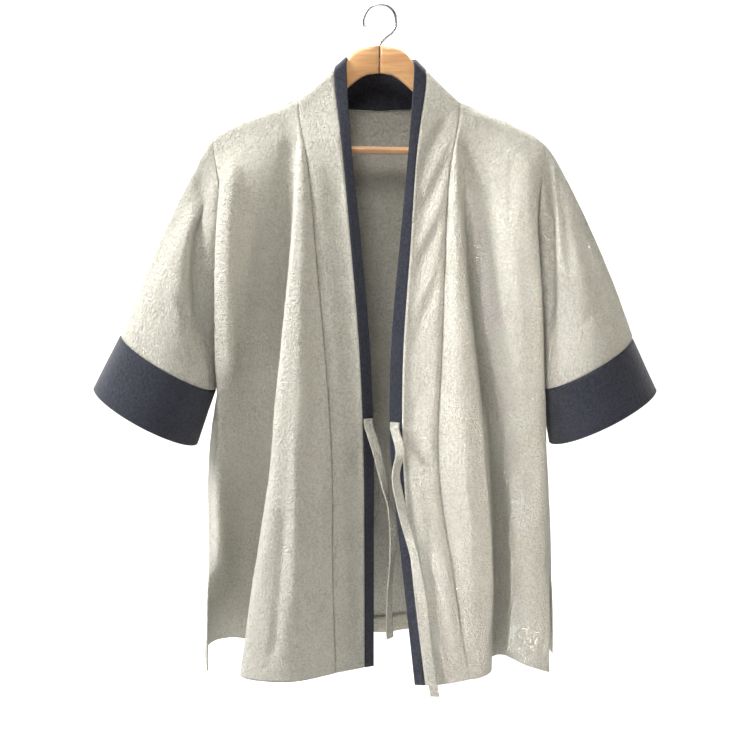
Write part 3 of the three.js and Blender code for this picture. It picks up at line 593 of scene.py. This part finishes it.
@dataclass
class ClothPiece:
    """One sheet of cloth, made from the outer face of its node."""

    node: str
    wall: float  # millimetres
    flat: tuple[float, float]  # metres
    finish: ClothFinish
    outward: Outward
    start: tuple[float, float, float]  # near the corner where the grid starts, in millimetres
    toward: tuple[float, float, float]  # which way its first row runs
    held: str = "hung"
    rests_on: tuple[str, ...] = ()
    area: float | None = None
    sewn: tuple[Sewn, ...] = ()
    levels: int = 3
    creases: list[Crease] = field(default_factory=list)
    folds: list[Fold] = field(default_factory=list)
    ripples: list[Ripple] = field(default_factory=list)
    settled_above: float = -150.0  # millimetres; the cloth lies still on the wood above this height
    fade: float = 7.0  # millimetres from a sewn edge over which the creases fade

    def build(self) -> bpy.types.Object:
        """Makes the finished piece.

        Returns:
            The piece, riding on the body.
        """
        grid = self.outer_face()
        rows = self.walk(grid)
        self.spread(grid, rows)
        self.close_seams(rows)
        coarse = bpy.data.meshes.new(f"{self.node}_coarse")
        grid.to_mesh(coarse)
        grid.free()
        mesh = self.refine(coarse)
        self.press(mesh)
        piece = bpy.data.objects.new(f"{self.node}_cloth", mesh)
        bpy.context.scene.collection.objects.link(piece)
        self.give_wall(piece)
        piece.data.materials.clear()
        piece.data.materials.append(self.finish.material())
        self.declare(piece)
        LOG.info("%s: %d faces before its wall", piece.name, len(mesh.polygons))
        return piece

    def outer_face(self) -> bmesh.types.BMesh:
        """The outer face of the node's wall as a grid of quads.

        Returns:
            A new bmesh.
        """
        grid = bmesh.new()
        grid.from_mesh(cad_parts[self.node].data)
        bmesh.ops.remove_doubles(grid, verts=grid.verts, dist=MERGE)
        wall = self.wall * MM
        rims = [face for face in grid.faces
                if any(abs(edge.calc_length() - wall) < RIM_TOLERANCE * wall for edge in face.edges)]
        bmesh.ops.delete(grid, geom=rims, context="FACES")
        islands = self.islands(grid)
        best = max(islands, key=self.facing)
        others = [face for island in islands if island is not best for face in island]
        bmesh.ops.delete(grid, geom=others, context="FACES")
        grid.loops.layers.uv.new(CLOTH_UV)
        grid.verts.layers.float.new(SEAM_LAYER)
        return grid

    @staticmethod
    def islands(grid: bmesh.types.BMesh) -> list[list[bmesh.types.BMFace]]:
        """Sorts the grid's faces into sets that hang together.

        Args:
            grid: The faces.

        Returns:
            The sets.
        """
        left = set(grid.faces)
        found = []
        while left:
            queue = [left.pop()]
            island = []
            while queue:
                face = queue.pop()
                island.append(face)
                for edge in face.edges:
                    for other in edge.link_faces:
                        if other in left:
                            left.remove(other)
                            queue.append(other)
            found.append(island)
        return found

    def facing(self, faces: list[bmesh.types.BMFace]) -> float:
        """How far a set of faces looks outwards.

        Args:
            faces: The faces.

        Returns:
            The sum of their areas, weighted by how much each looks outwards.
        """
        middle = sum((f.calc_center_median() for f in faces), Vector()) / len(faces)
        total = 0.0
        for face in faces:
            way = Vector(self.outward.value)
            if self.outward is Outward.AROUND:
                way = (face.calc_center_median() - middle).normalized()
            total += way.dot(face.normal) * face.calc_area()
        return total

    def walk(self, grid: bmesh.types.BMesh) -> list[list[bmesh.types.BMVert]]:
        """Puts the grid's points in rows and columns.

        Args:
            grid: The quads.

        Returns:
            The rows from the top, whose last point is the first again on a tube.
        """
        border = [v for v in grid.verts if v.is_boundary]
        corners = [v for v in border if len(v.link_edges) < BORDER_EDGES]
        place = Vector(self.start) * MM
        first = min(corners or border, key=lambda v: (v.co - place).length)
        way = Vector(self.toward)
        ahead = max((e.other_vert(first) for e in first.link_edges if e.is_boundary),
                    key=lambda v: (v.co - first.co).normalized().dot(way))
        row = [first, ahead]
        while row[-1] is not first and row[-1] not in corners:
            here, before = row[-1], row[-2]
            row.append(next(e.other_vert(here) for e in here.link_edges
                            if e.is_boundary and e.other_vert(here) is not before))
        rows = [row]
        used: set[bmesh.types.BMFace] = set()
        while len(used) < len(grid.faces):
            rows.append(self.row_below(rows[-1], used))
        self.join_halves(grid, rows)
        return rows

    @staticmethod
    def row_below(row: list[bmesh.types.BMVert], used: set[bmesh.types.BMFace]) -> list[bmesh.types.BMVert]:
        """Finds the row under a row.

        Args:
            row: The row.
            used: The faces above it, to which the faces between the two rows are added.

        Returns:
            The row below, in the same direction.
        """
        above = set(row)
        strip = {face for vert in row for face in vert.link_faces if face not in used}
        used |= strip
        beside: dict[bmesh.types.BMVert, list[bmesh.types.BMVert]] = {}
        for edge in {edge for face in strip for edge in face.edges}:
            a, b = edge.verts
            if a not in above and b not in above:
                beside.setdefault(a, []).append(b)
                beside.setdefault(b, []).append(a)
        ends = [vert for vert, others in beside.items() if len(others) == 1]
        here = min(ends or beside, key=lambda v: (v.co - row[0].co).length)
        below = [here, min(beside[here], key=lambda v: (v.co - row[1].co).length)]
        while len(below) < len(row):
            below.append(next(v for v in beside[below[-1]] if v is not below[-2]))
        return below

    @staticmethod
    def join_halves(grid: bmesh.types.BMesh, rows: list[list[bmesh.types.BMVert]]) -> None:
        """Joins the two triangles of every quad.

        Args:
            grid: The triangles.
            rows: Their points in rows.
        """
        along = {frozenset(pair) for row in rows for pair in zip(row, row[1:])}
        along |= {frozenset(pair) for above, row in zip(rows, rows[1:]) for pair in zip(above, row)}
        diagonals = [edge for edge in grid.edges if frozenset(edge.verts) not in along]
        bmesh.ops.dissolve_edges(grid, edges=diagonals, use_verts=False)

    def spread(self, grid: bmesh.types.BMesh, rows: list[list[bmesh.types.BMVert]]) -> None:
        """Lays the cloth's own coordinates in metres on the grid, and its distance to sewn edges.

        Args:
            grid: The quads.
            rows: Its points in rows.
        """
        cloth = grid.loops.layers.uv[CLOTH_UV]
        seam = grid.verts.layers.float[SEAM_LAYER]
        across = [[0.0] for _ in rows]
        for r, row in enumerate(rows):
            for a, b in zip(row, row[1:]):
                across[r].append(across[r][-1] + (b.co - a.co).length)
        down = [[0.0] * len(rows[0])]
        for above, row in zip(rows, rows[1:]):
            down.append([d + (b.co - a.co).length for d, a, b in zip(down[-1], above, row)])
        for r, row in enumerate(rows):
            for c, vert in enumerate(row):
                near = [UNSEWN]
                if Sewn.FIRST in self.sewn:
                    near.append(across[r][c])
                if Sewn.LAST in self.sewn:
                    near.append(across[r][-1] - across[r][c])
                if Sewn.TOP in self.sewn:
                    near.append(down[r][c])
                if Sewn.BOTTOM in self.sewn:
                    near.append(down[-1][c] - down[r][c])
                vert[seam] = min(near)
        for r in range(len(rows) - 1):
            for c in range(len(rows[0]) - 1):
                corners = {rows[r][c]: (r, c), rows[r][c + 1]: (r, c + 1),
                           rows[r + 1][c]: (r + 1, c), rows[r + 1][c + 1]: (r + 1, c + 1)}
                face = next(f for f in rows[r][c].link_faces if all(v in f.verts for v in corners))
                for loop in face.loops:
                    i, j = corners[loop.vert]
                    loop[cloth].uv = (across[i][j], -down[i][j])

    def close_seams(self, rows: list[list[bmesh.types.BMVert]]) -> None:
        """Moves the sewn edges out a little, so that no light shows between two pieces.

        Args:
            rows: The grid's points in rows.
        """
        columns = list(zip(*rows))
        for edge, lines in ((Sewn.FIRST, rows), (Sewn.LAST, [row[::-1] for row in rows]),
                            (Sewn.TOP, columns), (Sewn.BOTTOM, [column[::-1] for column in columns])):
            if edge not in self.sewn:
                continue
            moves = [(line[0], (line[0].co - line[1].co).normalized() * SEAM_REACH * MM) for line in lines]
            for vert, move in dict(moves).items():
                vert.co += move

    def refine(self, coarse: bpy.types.Mesh) -> bpy.types.Mesh:
        """Subdivides the grid smoothly.

        Args:
            coarse: The grid.

        Returns:
            A fine mesh.
        """
        carrier = bpy.data.objects.new("carrier", coarse)
        bpy.context.scene.collection.objects.link(carrier)
        smooth = carrier.modifiers.new("smooth", "SUBSURF")
        smooth.levels = smooth.render_levels = self.levels
        smooth.boundary_smooth = "PRESERVE_CORNERS"
        smooth.uv_smooth = "PRESERVE_BOUNDARIES"
        graph = bpy.context.evaluated_depsgraph_get()
        fine = bpy.data.meshes.new_from_object(carrier.evaluated_get(graph), depsgraph=graph)
        fine.name = f"{self.node}_cloth"
        bpy.data.objects.remove(carrier)
        bpy.data.meshes.remove(coarse)
        return fine

    def press(self, mesh: bpy.types.Mesh) -> None:
        """Presses the creases and ripples into the mesh.

        Args:
            mesh: The fine mesh.
        """
        count = len(mesh.vertices)
        places = np.empty(count * 3)
        mesh.vertices.foreach_get("co", places)
        places = places.reshape(-1, 3)
        normals = np.empty(count * 3)
        mesh.vertex_normals.foreach_get("vector", normals)
        normals = normals.reshape(-1, 3)
        seam = np.empty(count)
        mesh.attributes[SEAM_LAYER].data.foreach_get("value", seam)
        points = places / MM
        near = np.clip(seam / (self.fade * MM), 0, 1)
        still = np.clip((self.settled_above - points[:, 2]) / SETTLE, 0, 1)
        free = ease(near) * (ON_WOOD + (1 - ON_WOOD) * still)
        moves = sum((shape.push(points) for shape in (*self.creases, *self.ripples)), np.zeros(count)) * free
        moves -= SEAM_DIP * np.exp(-((seam / (SEAM_DIP_WIDTH * MM)) ** 2))
        places += normals * (moves * MM)[:, None]
        sunk = sum((fold.push(points) for fold in self.folds), np.zeros(count)) * free
        places -= np.outer(sunk * MM, self.outward.value)
        mesh.vertices.foreach_set("co", places.ravel())
        mesh.attributes.remove(mesh.attributes[SEAM_LAYER])
        mesh.update()

    def give_wall(self, piece: bpy.types.Object) -> None:
        """Gives the sheet its thickness, inwards.

        Args:
            piece: The piece.
        """
        wall = piece.modifiers.new("wall", "SOLIDIFY")
        wall.thickness = self.wall * MM
        wall.offset = -1.0
        piece.data.shade_smooth()

    def declare(self, piece: bpy.types.Object) -> None:
        """Hangs the piece on the root body and hides the node it replaces.

        Args:
            piece: The piece.
        """
        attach(piece, ROOT)
        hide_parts(self.node)


# ---------------------------------------------------------------- sub-assemblies


def drape(seed: float) -> list[Ripple]:
    """Uneven hang and small crinkles, as all the body's linen shows.

    Args:
        seed: A number of the piece's own.

    Returns:
        The ripples.
    """
    return [
        Ripple(across=70, down=260, height=1.6, seed=seed),
        Ripple(across=30, down=90, height=0.6, seed=seed + 7, slant=0.3),
        Ripple(across=13, down=20, height=0.45, seed=seed + 13, slant=0.5, sharp=True),
    ]


@dataclass
class Body:
    """The back and both fronts."""

    wall: float = 1.5
    hem_wall: float = 1.2

    def build(self) -> None:
        """Makes the back, its hem and the fronts."""
        ClothPiece(
            node="back_panel", wall=self.wall, flat=(0.55, 0.75), area=0.39, finish=LINEN,
            outward=Outward.BACK, start=(-208, 0, -160), toward=(1, 0, 0),
            rests_on=("hanger_arm_right", "hanger_arm_left"), sewn=(Sewn.TOP, Sewn.FIRST, Sewn.LAST),
            ripples=drape(3.0), creases=self.back_creases()).build()
        ClothPiece(
            node="back_hem", wall=self.hem_wall, flat=(0.52, 0.026), finish=LINEN_INSIDE,
            outward=Outward.BACK, start=(-230, 40, -830), toward=(1, 0, 0), levels=2,
            rests_on=("back_panel",)).build()
        for side in Side:
            ClothPiece(
                node=f"{side.word}_front", wall=self.wall,
                flat=(0.24, 0.74), area=0.165 if side is Side.RIGHT else 0.135, finish=LINEN,
                outward=Outward.FRONT, start=(side.value * 101, 0, -116), toward=(side.value, 0, 0),
                rests_on=(f"hanger_arm_{side.word}",), sewn=(Sewn.TOP, Sewn.FIRST, Sewn.LAST),
                ripples=drape(11.0 + side.value * 4), creases=self.front_creases(side),
                folds=self.front_folds(side), settled_above=-125).build()

    @staticmethod
    def back_creases() -> list[Crease]:
        """Creases of the back, which hang from the shoulders."""
        return [
            Crease([(-176, -230), (-168, -420), (-160, -640)], width=9, depth=-1.6),
            Crease([(-130, -300), (-140, -520), (-152, -700)], width=10, depth=1.2),
            Crease([(-60, -340), (-52, -560), (-50, -780)], width=9, depth=-1.2),
            Crease([(58, -300), (66, -470), (60, -640)], width=10, depth=1.3),
            Crease([(140, -250), (150, -430), (158, -600)], width=9, depth=-1.5),
            Crease([(186, -260), (178, -480), (186, -700)], width=11, depth=1.2),
        ]

    @staticmethod
    def front_folds(side: Side) -> list[Fold]:
        """The deep folds beside the band's flute.

        Args:
            side: Which front.

        Returns:
            Its folds.
        """
        if side is Side.RIGHT:
            return [
                Fold([(-103, -130), (-106, -203), (-110, -254), (-115, -306), (-121, -359), (-127, -411),
                      (-132, -480)], side=-1, width=17, depth=13),
            ]
        return [
            Fold([(97, -130), (102, -226), (107, -290), (114, -352), (121, -416), (130, -480), (137, -540)],
                 side=1, width=13, depth=10),
            Fold([(132, -470), (139, -545), (143, -620), (146, -700), (149, -800)],
                 side=-1, width=9, depth=-9),
        ]

    @staticmethod
    def front_creases(side: Side) -> list[Crease]:
        """Creases of one front.

        Args:
            side: Which front.

        Returns:
            Its creases.
        """
        if side is Side.RIGHT:
            return [
                Crease([(-182, -165), (-187, -230), (-192, -307), (-194, -400), (-196, -480)],
                       width=12, depth=6, fade=0.15),
                Crease([(-181, -185), (-188, -300), (-192, -400), (-193, -500)], width=10, depth=6),
                Crease([(-146, -220), (-150, -320), (-156, -420), (-166, -540)], width=15, depth=-5),
                Crease([(-88, -290), (-83, -410), (-80, -468), (-89, -616), (-86, -690), (-102, -760)],
                       width=9, depth=-4),
                Crease([(-120, -430), (-130, -560), (-143, -659), (-160, -775)], width=8, depth=3),
                Crease([(-107, -480), (-108, -640), (-112, -780)], width=7, depth=2.5),
                Crease([(-119, -600), (-128, -700), (-137, -800), (-146, -845)],
                       width=7, depth=-3.5, fade=0.2),
                Crease([(-212, -540), (-211, -600), (-211, -670), (-213, -730)], width=7, depth=5),
            ]
        return [
            Crease([(150, -190), (160, -320), (172, -450), (182, -560), (186, -700), (188, -850)],
                   width=20, depth=9, fade=0.2),
            Crease([(163, -165), (161, -257), (159, -350)], width=5, depth=-1.3),
            Crease([(200, -240), (203, -400), (204, -560), (204, -700), (203, -820)], width=10, depth=4),
        ]


@dataclass
class NeckBand:
    """The doubled band with its dark edging, and the facing inside the back of the neck."""

    band_wall: float = 2.0
    edging_wall: float = 2.4
    facing_wall: float = 1.2

    def build(self) -> None:
        """Makes both halves of the band and of the edging, and the facing."""
        for side in Side:
            arm = (f"hanger_arm_{side.word}",)
            ClothPiece(
                node=f"{side.word}_band", wall=self.band_wall, flat=(0.046, 0.93), finish=LINEN,
                outward=Outward.FRONT, start=(0, 32, -79), toward=(0, 0, -1), rests_on=arm,
                sewn=(Sewn.TOP, Sewn.FIRST, Sewn.LAST), ripples=drape(23.0 + side.value * 5),
                creases=self.band_creases(side), settled_above=-110).build()
            ClothPiece(
                node=f"{side.word}_edging", wall=self.edging_wall, flat=(0.015, 0.93), finish=DARK_LINEN,
                outward=Outward.FRONT, start=(0, 28, -65), toward=(0, 0, -1), rests_on=arm,
                sewn=(Sewn.TOP, Sewn.LAST)).build()
        ClothPiece(
            node="neck_facing", wall=self.facing_wall, flat=(0.19, 0.044), finish=DARK_LINEN,
            outward=Outward.BACK, start=(-60, 5, -75), toward=(1, 1, 0),
            rests_on=("right_band", "left_band")).build()

    @staticmethod
    def band_creases(side: Side) -> list[Crease]:
        """The roll of the band towards the opening, and the slanting creases across it.

        Args:
            side: Which half.

        Returns:
            Its creases.
        """
        if side is Side.RIGHT:
            return [
                Crease([(-84, -150), (-68, -300), (-59, -420), (-51, -560), (-51, -700), (-49, -850)],
                       width=11, depth=2.8, fade=0.12),
                Crease([(-60, -150), (-45, -300), (-36, -420), (-30, -560), (-29, -700), (-29, -850)],
                       width=11, depth=-2.8, fade=0.12),
                Crease([(-74, -118), (-58, -134), (-40, -160)], width=5, depth=-1.4),
                Crease([(-60, -150), (-46, -176), (-36, -205)], width=5, depth=1.4),
                Crease([(-72, -190), (-56, -216), (-40, -240)], width=6, depth=-1.2),
                Crease([(-70, -300), (-54, -318), (-36, -326)], width=6, depth=-1.0),
                Crease([(-66, -400), (-50, -408), (-30, -424)], width=5, depth=-1.0),
                Crease([(-62, -500), (-44, -520), (-28, -528)], width=5, depth=-1.2),
                Crease([(-60, -560), (-44, -570), (-30, -590)], width=5, depth=1.1),
                Crease([(-62, -650), (-44, -668), (-28, -676)], width=6, depth=-1.2),
                Crease([(-58, -740), (-46, -780), (-40, -830)], width=6, depth=-1.4),
            ]
        return [
            Crease([(80, -150), (70, -300), (66, -420), (62, -560), (82, -700), (105, -850)],
                   width=11, depth=2.4, fade=0.12),
            Crease([(58, -150), (46, -300), (39, -420), (38, -560), (51, -700), (71, -850)],
                   width=11, depth=-2.4, fade=0.12),
            Crease([(90, -122), (71, -149), (54, -184), (46, -215)], width=5, depth=-2.2),
            Crease([(88, -150), (72, -185), (50, -225)], width=5, depth=1.8),
            Crease([(84, -178), (68, -220), (45, -255)], width=5, depth=-2.2),
            Crease([(82, -215), (62, -262), (40, -305)], width=6, depth=1.8),
            Crease([(79, -248), (59, -290), (38, -330)], width=5, depth=-2.2),
            Crease([(76, -290), (58, -335), (38, -375)], width=6, depth=1.6),
            Crease([(72, -325), (56, -369), (40, -412)], width=5, depth=-2.2, fade=0.15),
            Crease([(74, -404), (56, -413), (36, -420)], width=4, depth=-1.4),
            Crease([(68, -440), (52, -475), (30, -520)], width=7, depth=-1.8),
            Crease([(40, -520), (56, -545), (66, -590)], width=6, depth=-1.8),
            Crease([(36, -560), (52, -610), (58, -680)], width=7, depth=1.6),
            Crease([(62, -650), (74, -727), (92, -825)], width=7, depth=-1.8),
        ]


@dataclass
class Sleeves:
    """Both sleeves and their cuffs."""

    wall: float = 1.5
    cuff_wall: float = 2.0

    def build(self) -> None:
        """Makes the sleeves and cuffs."""
        for side in Side:
            way = side.value
            ClothPiece(
                node=f"{side.word}_sleeve", wall=self.wall, flat=(0.53, 0.27),
                area=0.072 if side is Side.RIGHT else 0.068, finish=LINEN,
                outward=Outward.AROUND, start=(way * 207, 0, -162), toward=(0, -1, 0),
                rests_on=(f"{side.word}_front", "back_panel"), sewn=(Sewn.TOP, Sewn.BOTTOM),
                ripples=drape(37.0 + way * 6), creases=self.creases(side), fade=3).build()
            ClothPiece(
                node=f"{side.word}_cuff", wall=self.cuff_wall, flat=(0.39, 0.085), finish=DARK_LINEN,
                outward=Outward.AROUND, start=(way * 330, -5, -410), toward=(0, -1, 0),
                rests_on=(f"{side.word}_sleeve",), sewn=(Sewn.TOP,),
                ripples=[Ripple(across=60, down=60, height=0.9, seed=51.0 + way)]).build()

    @staticmethod
    def creases(side: Side) -> list[Crease]:
        """Creases that fall from the shoulder point down the sleeve.

        Args:
            side: Which sleeve.

        Returns:
            Its creases.
        """
        if side is Side.RIGHT:
            return [
                Crease([(-219, -172), (-223, -225), (-226, -300), (-225, -370), (-221, -450)],
                       width=13, depth=-17, fade=0.35),
                Crease([(-254, -340), (-243, -376), (-238, -412)], width=4, depth=-1.8),
                Crease([(-230, -346), (-238, -382), (-240, -412)], width=4, depth=1.8),
                Crease([(-262, -300), (-268, -350), (-276, -395)], width=8, depth=-1.5),
                Crease([(-290, -330), (-296, -360), (-306, -395)], width=7, depth=1.2),
            ]
        return [
            Crease([(207, -172), (211, -230), (212, -300), (213, -410)], width=6, depth=-12, fade=0.25),
            Crease([(212, -178), (218, -228), (224, -290), (230, -350)], width=6, depth=3.5),
            Crease([(218, -190), (228, -260), (238, -330)], width=7, depth=-3),
            Crease([(250, -250), (268, -320), (282, -380)], width=8, depth=-1.5),
            Crease([(290, -320), (270, -370), (240, -400)], width=5, depth=-1.5),
        ]


@dataclass
class Ties:
    """The ties, strips of the body's cloth that hang free."""

    wall: float = 1.8

    def build(self) -> None:
        """Makes both ties."""
        for side, length, start in ((Side.RIGHT, 0.33, (-20, -60, -508)), (Side.LEFT, 0.39, (12, -75, -508))):
            ClothPiece(
                node=f"{side.word}_tie", wall=self.wall, flat=(0.012, length), finish=LINEN,
                outward=Outward.FRONT, start=start, toward=(1, 0, 0),
                rests_on=(f"{side.word}_edging",)).build()


@dataclass
class Hanger:
    """The wooden hanger with its bar and wire hook."""

    def build(self) -> None:
        """Makes smooth-faced copies of the wood and of the wire."""
        wood, wire = WoodFinish(), WireFinish()
        for node, finish in (("hanger_arm_right", wood), ("hanger_arm_left", wood),
                             ("trouser_bar", wood), ("hook", wire)):
            self.copy(node, finish)

    @staticmethod
    def copy(node: str, finish: Finish) -> bpy.types.Object:
        """Copies a node, merged and smooth, in its finish.

        Args:
            node: The node.
            finish: Its finish.

        Returns:
            The piece.
        """
        solid = bmesh.new()
        solid.from_mesh(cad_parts[node].data)
        bmesh.ops.remove_doubles(solid, verts=solid.verts, dist=MERGE)
        mesh = bpy.data.meshes.new(f"{node}_finished")
        solid.to_mesh(mesh)
        solid.free()
        piece = bpy.data.objects.new(f"{node}_finished", mesh)
        bpy.context.scene.collection.objects.link(piece)
        mesh.shade_smooth()
        mesh.set_sharp_from_angle(angle=math.radians(SMOOTH_ANGLE))
        mesh.materials.clear()
        mesh.materials.append(finish.material())
        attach(piece, ROOT)
        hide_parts(node)
        LOG.info("%s: %d faces", piece.name, len(mesh.polygons))
        return piece


# ---------------------------------------------------------------- the studio


@dataclass(frozen=True)
class Lamp:
    """A soft flat light."""

    name: str
    place: tuple[float, float, float]  # metres
    aim: tuple[float, float, float]
    power: float  # watts
    tint: tuple[float, float, float] = (1.0, 1.0, 1.0)
    size: float = 1.0  # its side
    height: float | None = None  # its other side, where it isn't square
    spread: float = 180.0  # degrees of its beam

    def hang(self) -> None:
        """Adds the light to the scene."""
        data = bpy.data.lights.new(self.name, "AREA")
        data.shape = "SQUARE" if self.height is None else "RECTANGLE"
        data.size = self.size
        data.size_y = self.size if self.height is None else self.height
        data.spread = math.radians(self.spread)
        data.energy = self.power
        data.color = self.tint
        lamp = bpy.data.objects.new(self.name, data)
        lamp.location = self.place
        lamp.rotation_euler = (Vector(self.aim) - Vector(self.place)).to_track_quat("-Z", "Y").to_euler()
        bpy.context.scene.collection.objects.link(lamp)


LAMPS = (
    Lamp("side", (-2.56, -0.55, 1.43), aim=(0.0, 0.0, -0.4), power=222.0, tint=(0.98, 0.99, 1.0)),
    Lamp("front", (-0.45, -2.0, 2.0), aim=(0.0, 0.0, -0.3), power=74.0, tint=(1.0, 0.985, 0.94)),
    Lamp("low", (2.87, -1.34, 0.05), aim=(0.0, 0.0, -0.4), power=34.0, tint=(1.0, 0.95, 0.84)),
    Lamp("beam", (-0.98, -2.17, -0.25), aim=(0.15, -0.05, -0.56), power=0.36, tint=(1.0, 0.99, 0.97),
         size=0.16, height=0.7, spread=5.2),
    Lamp("back", (0.0, 0.9, 1.9), aim=(0.0, 1.4, -1.0), power=110.0, size=1.6),
)


@dataclass
class Studio:
    """Pale floor and wall, soft lights and the camera."""

    camera_place: tuple[float, float, float] = (-0.0065, -1.8, -0.0285)
    camera_pitch: float = 13.613  # degrees below level
    lens: float = 68.38
    floor_z: float = -1.9
    wall_y: float = 1.6
    wall_top: float = 2.5
    reach: float = 4.0  # of the floor to the front and to both sides
    bend: float = 0.8  # radius of the curve between floor and wall
    bend_steps: int = 8

    def build(self) -> None:
        """Sets up the camera, the background and the lights."""
        self.place_camera()
        self.lay_floor()
        for lamp in LAMPS:
            lamp.hang()
        self.fill_room()
        bpy.context.scene.view_settings.view_transform = "Standard"

    @staticmethod
    def fill_room() -> None:
        """Surrounds the scene with a pale room that gives a weak warm light."""
        world = bpy.data.worlds.new("studio")
        world.use_nodes = True
        shader = Shader(world.node_tree)
        dim = shader.add("ShaderNodeBackground", Color=(1.0, 0.94, 0.82, 1.0), Strength=0.05)
        pale = shader.add("ShaderNodeBackground", Color=(0.9, 0.9, 0.9, 1.0))
        both = shader.add("ShaderNodeMixShader")
        shader.link(shader.add("ShaderNodeLightPath").outputs["Is Camera Ray"], both.inputs[0])
        shader.link(dim.outputs[0], both.inputs[1])
        shader.link(pale.outputs[0], both.inputs[2])
        shader.link(both.outputs[0], shader.add("ShaderNodeOutputWorld").inputs[0])
        bpy.context.scene.world = world

    def place_camera(self) -> None:
        """Adds the camera and makes it the scene's."""
        data = bpy.data.cameras.new("camera")
        data.lens = self.lens
        data.clip_end = 20.0
        camera = bpy.data.objects.new("camera", data)
        camera.location = self.camera_place
        camera.rotation_euler = (math.radians(90.0 - self.camera_pitch), 0.0, 0.0)
        bpy.context.scene.collection.objects.link(camera)
        bpy.context.scene.camera = camera

    def lay_floor(self) -> None:
        """Adds a pale floor that curves up into a wall."""
        sweep = bmesh.new()
        bend_y = self.wall_y - self.bend
        profile = [(-self.reach, self.floor_z), (bend_y, self.floor_z)]
        for step in range(1, self.bend_steps + 1):
            turn = step / self.bend_steps * math.pi / 2
            profile.append((bend_y + self.bend * math.sin(turn),
                            self.floor_z + self.bend * (1 - math.cos(turn))))
        profile.append((self.wall_y, self.wall_top))
        points = [sweep.verts.new((-self.reach, y, z)) for y, z in profile]
        edges = [sweep.edges.new(pair) for pair in zip(points, points[1:])]
        wide = bmesh.ops.extrude_edge_only(sweep, edges=edges)
        moved = [v for v in wide["geom"] if isinstance(v, bmesh.types.BMVert)]
        bmesh.ops.translate(sweep, verts=moved, vec=(2 * self.reach, 0.0, 0.0))
        bmesh.ops.recalc_face_normals(sweep, faces=sweep.faces)
        if sum(face.normal.z for face in sweep.faces) < 0:  # the floor's face looks up
            bmesh.ops.reverse_faces(sweep, faces=sweep.faces)
        mesh = bpy.data.meshes.new("backdrop")
        sweep.to_mesh(mesh)
        sweep.free()
        mesh.shade_smooth()
        backdrop = bpy.data.objects.new("backdrop", mesh)
        bpy.context.scene.collection.objects.link(backdrop)
        mesh.materials.append(self.paper())

    @staticmethod
    def paper() -> bpy.types.Material:
        """Pale paper that can be looked through from behind.

        Returns:
            The material.
        """
        material = bpy.data.materials.new("pale paper")
        material.use_nodes = True
        shader = Shader(material.node_tree)
        paper = shader.add("ShaderNodeBsdfPrincipled", Roughness=0.9)
        paper.inputs["Base Color"].default_value = (0.8, 0.8, 0.8, 1.0)
        both = shader.add("ShaderNodeMixShader")
        shader.link(shader.add("ShaderNodeNewGeometry").outputs["Backfacing"], both.inputs[0])
        shader.link(paper.outputs[0], both.inputs[1])
        shader.link(shader.add("ShaderNodeBsdfTransparent").outputs[0], both.inputs[2])
        shader.link(both.outputs[0], shader.add("ShaderNodeOutputMaterial").inputs[0])
        return material


def main() -> None:
    """Builds the scene in order."""
    logging.basicConfig(level=logging.INFO, format="%(message)s")
    Studio().build()
    for assembly in (Body(), NeckBand(), Sleeves(), Ties(), Hanger()):
        LOG.info("building %s", type(assembly).__name__)
        assembly.build()


if __name__ == "__main__":
    main()
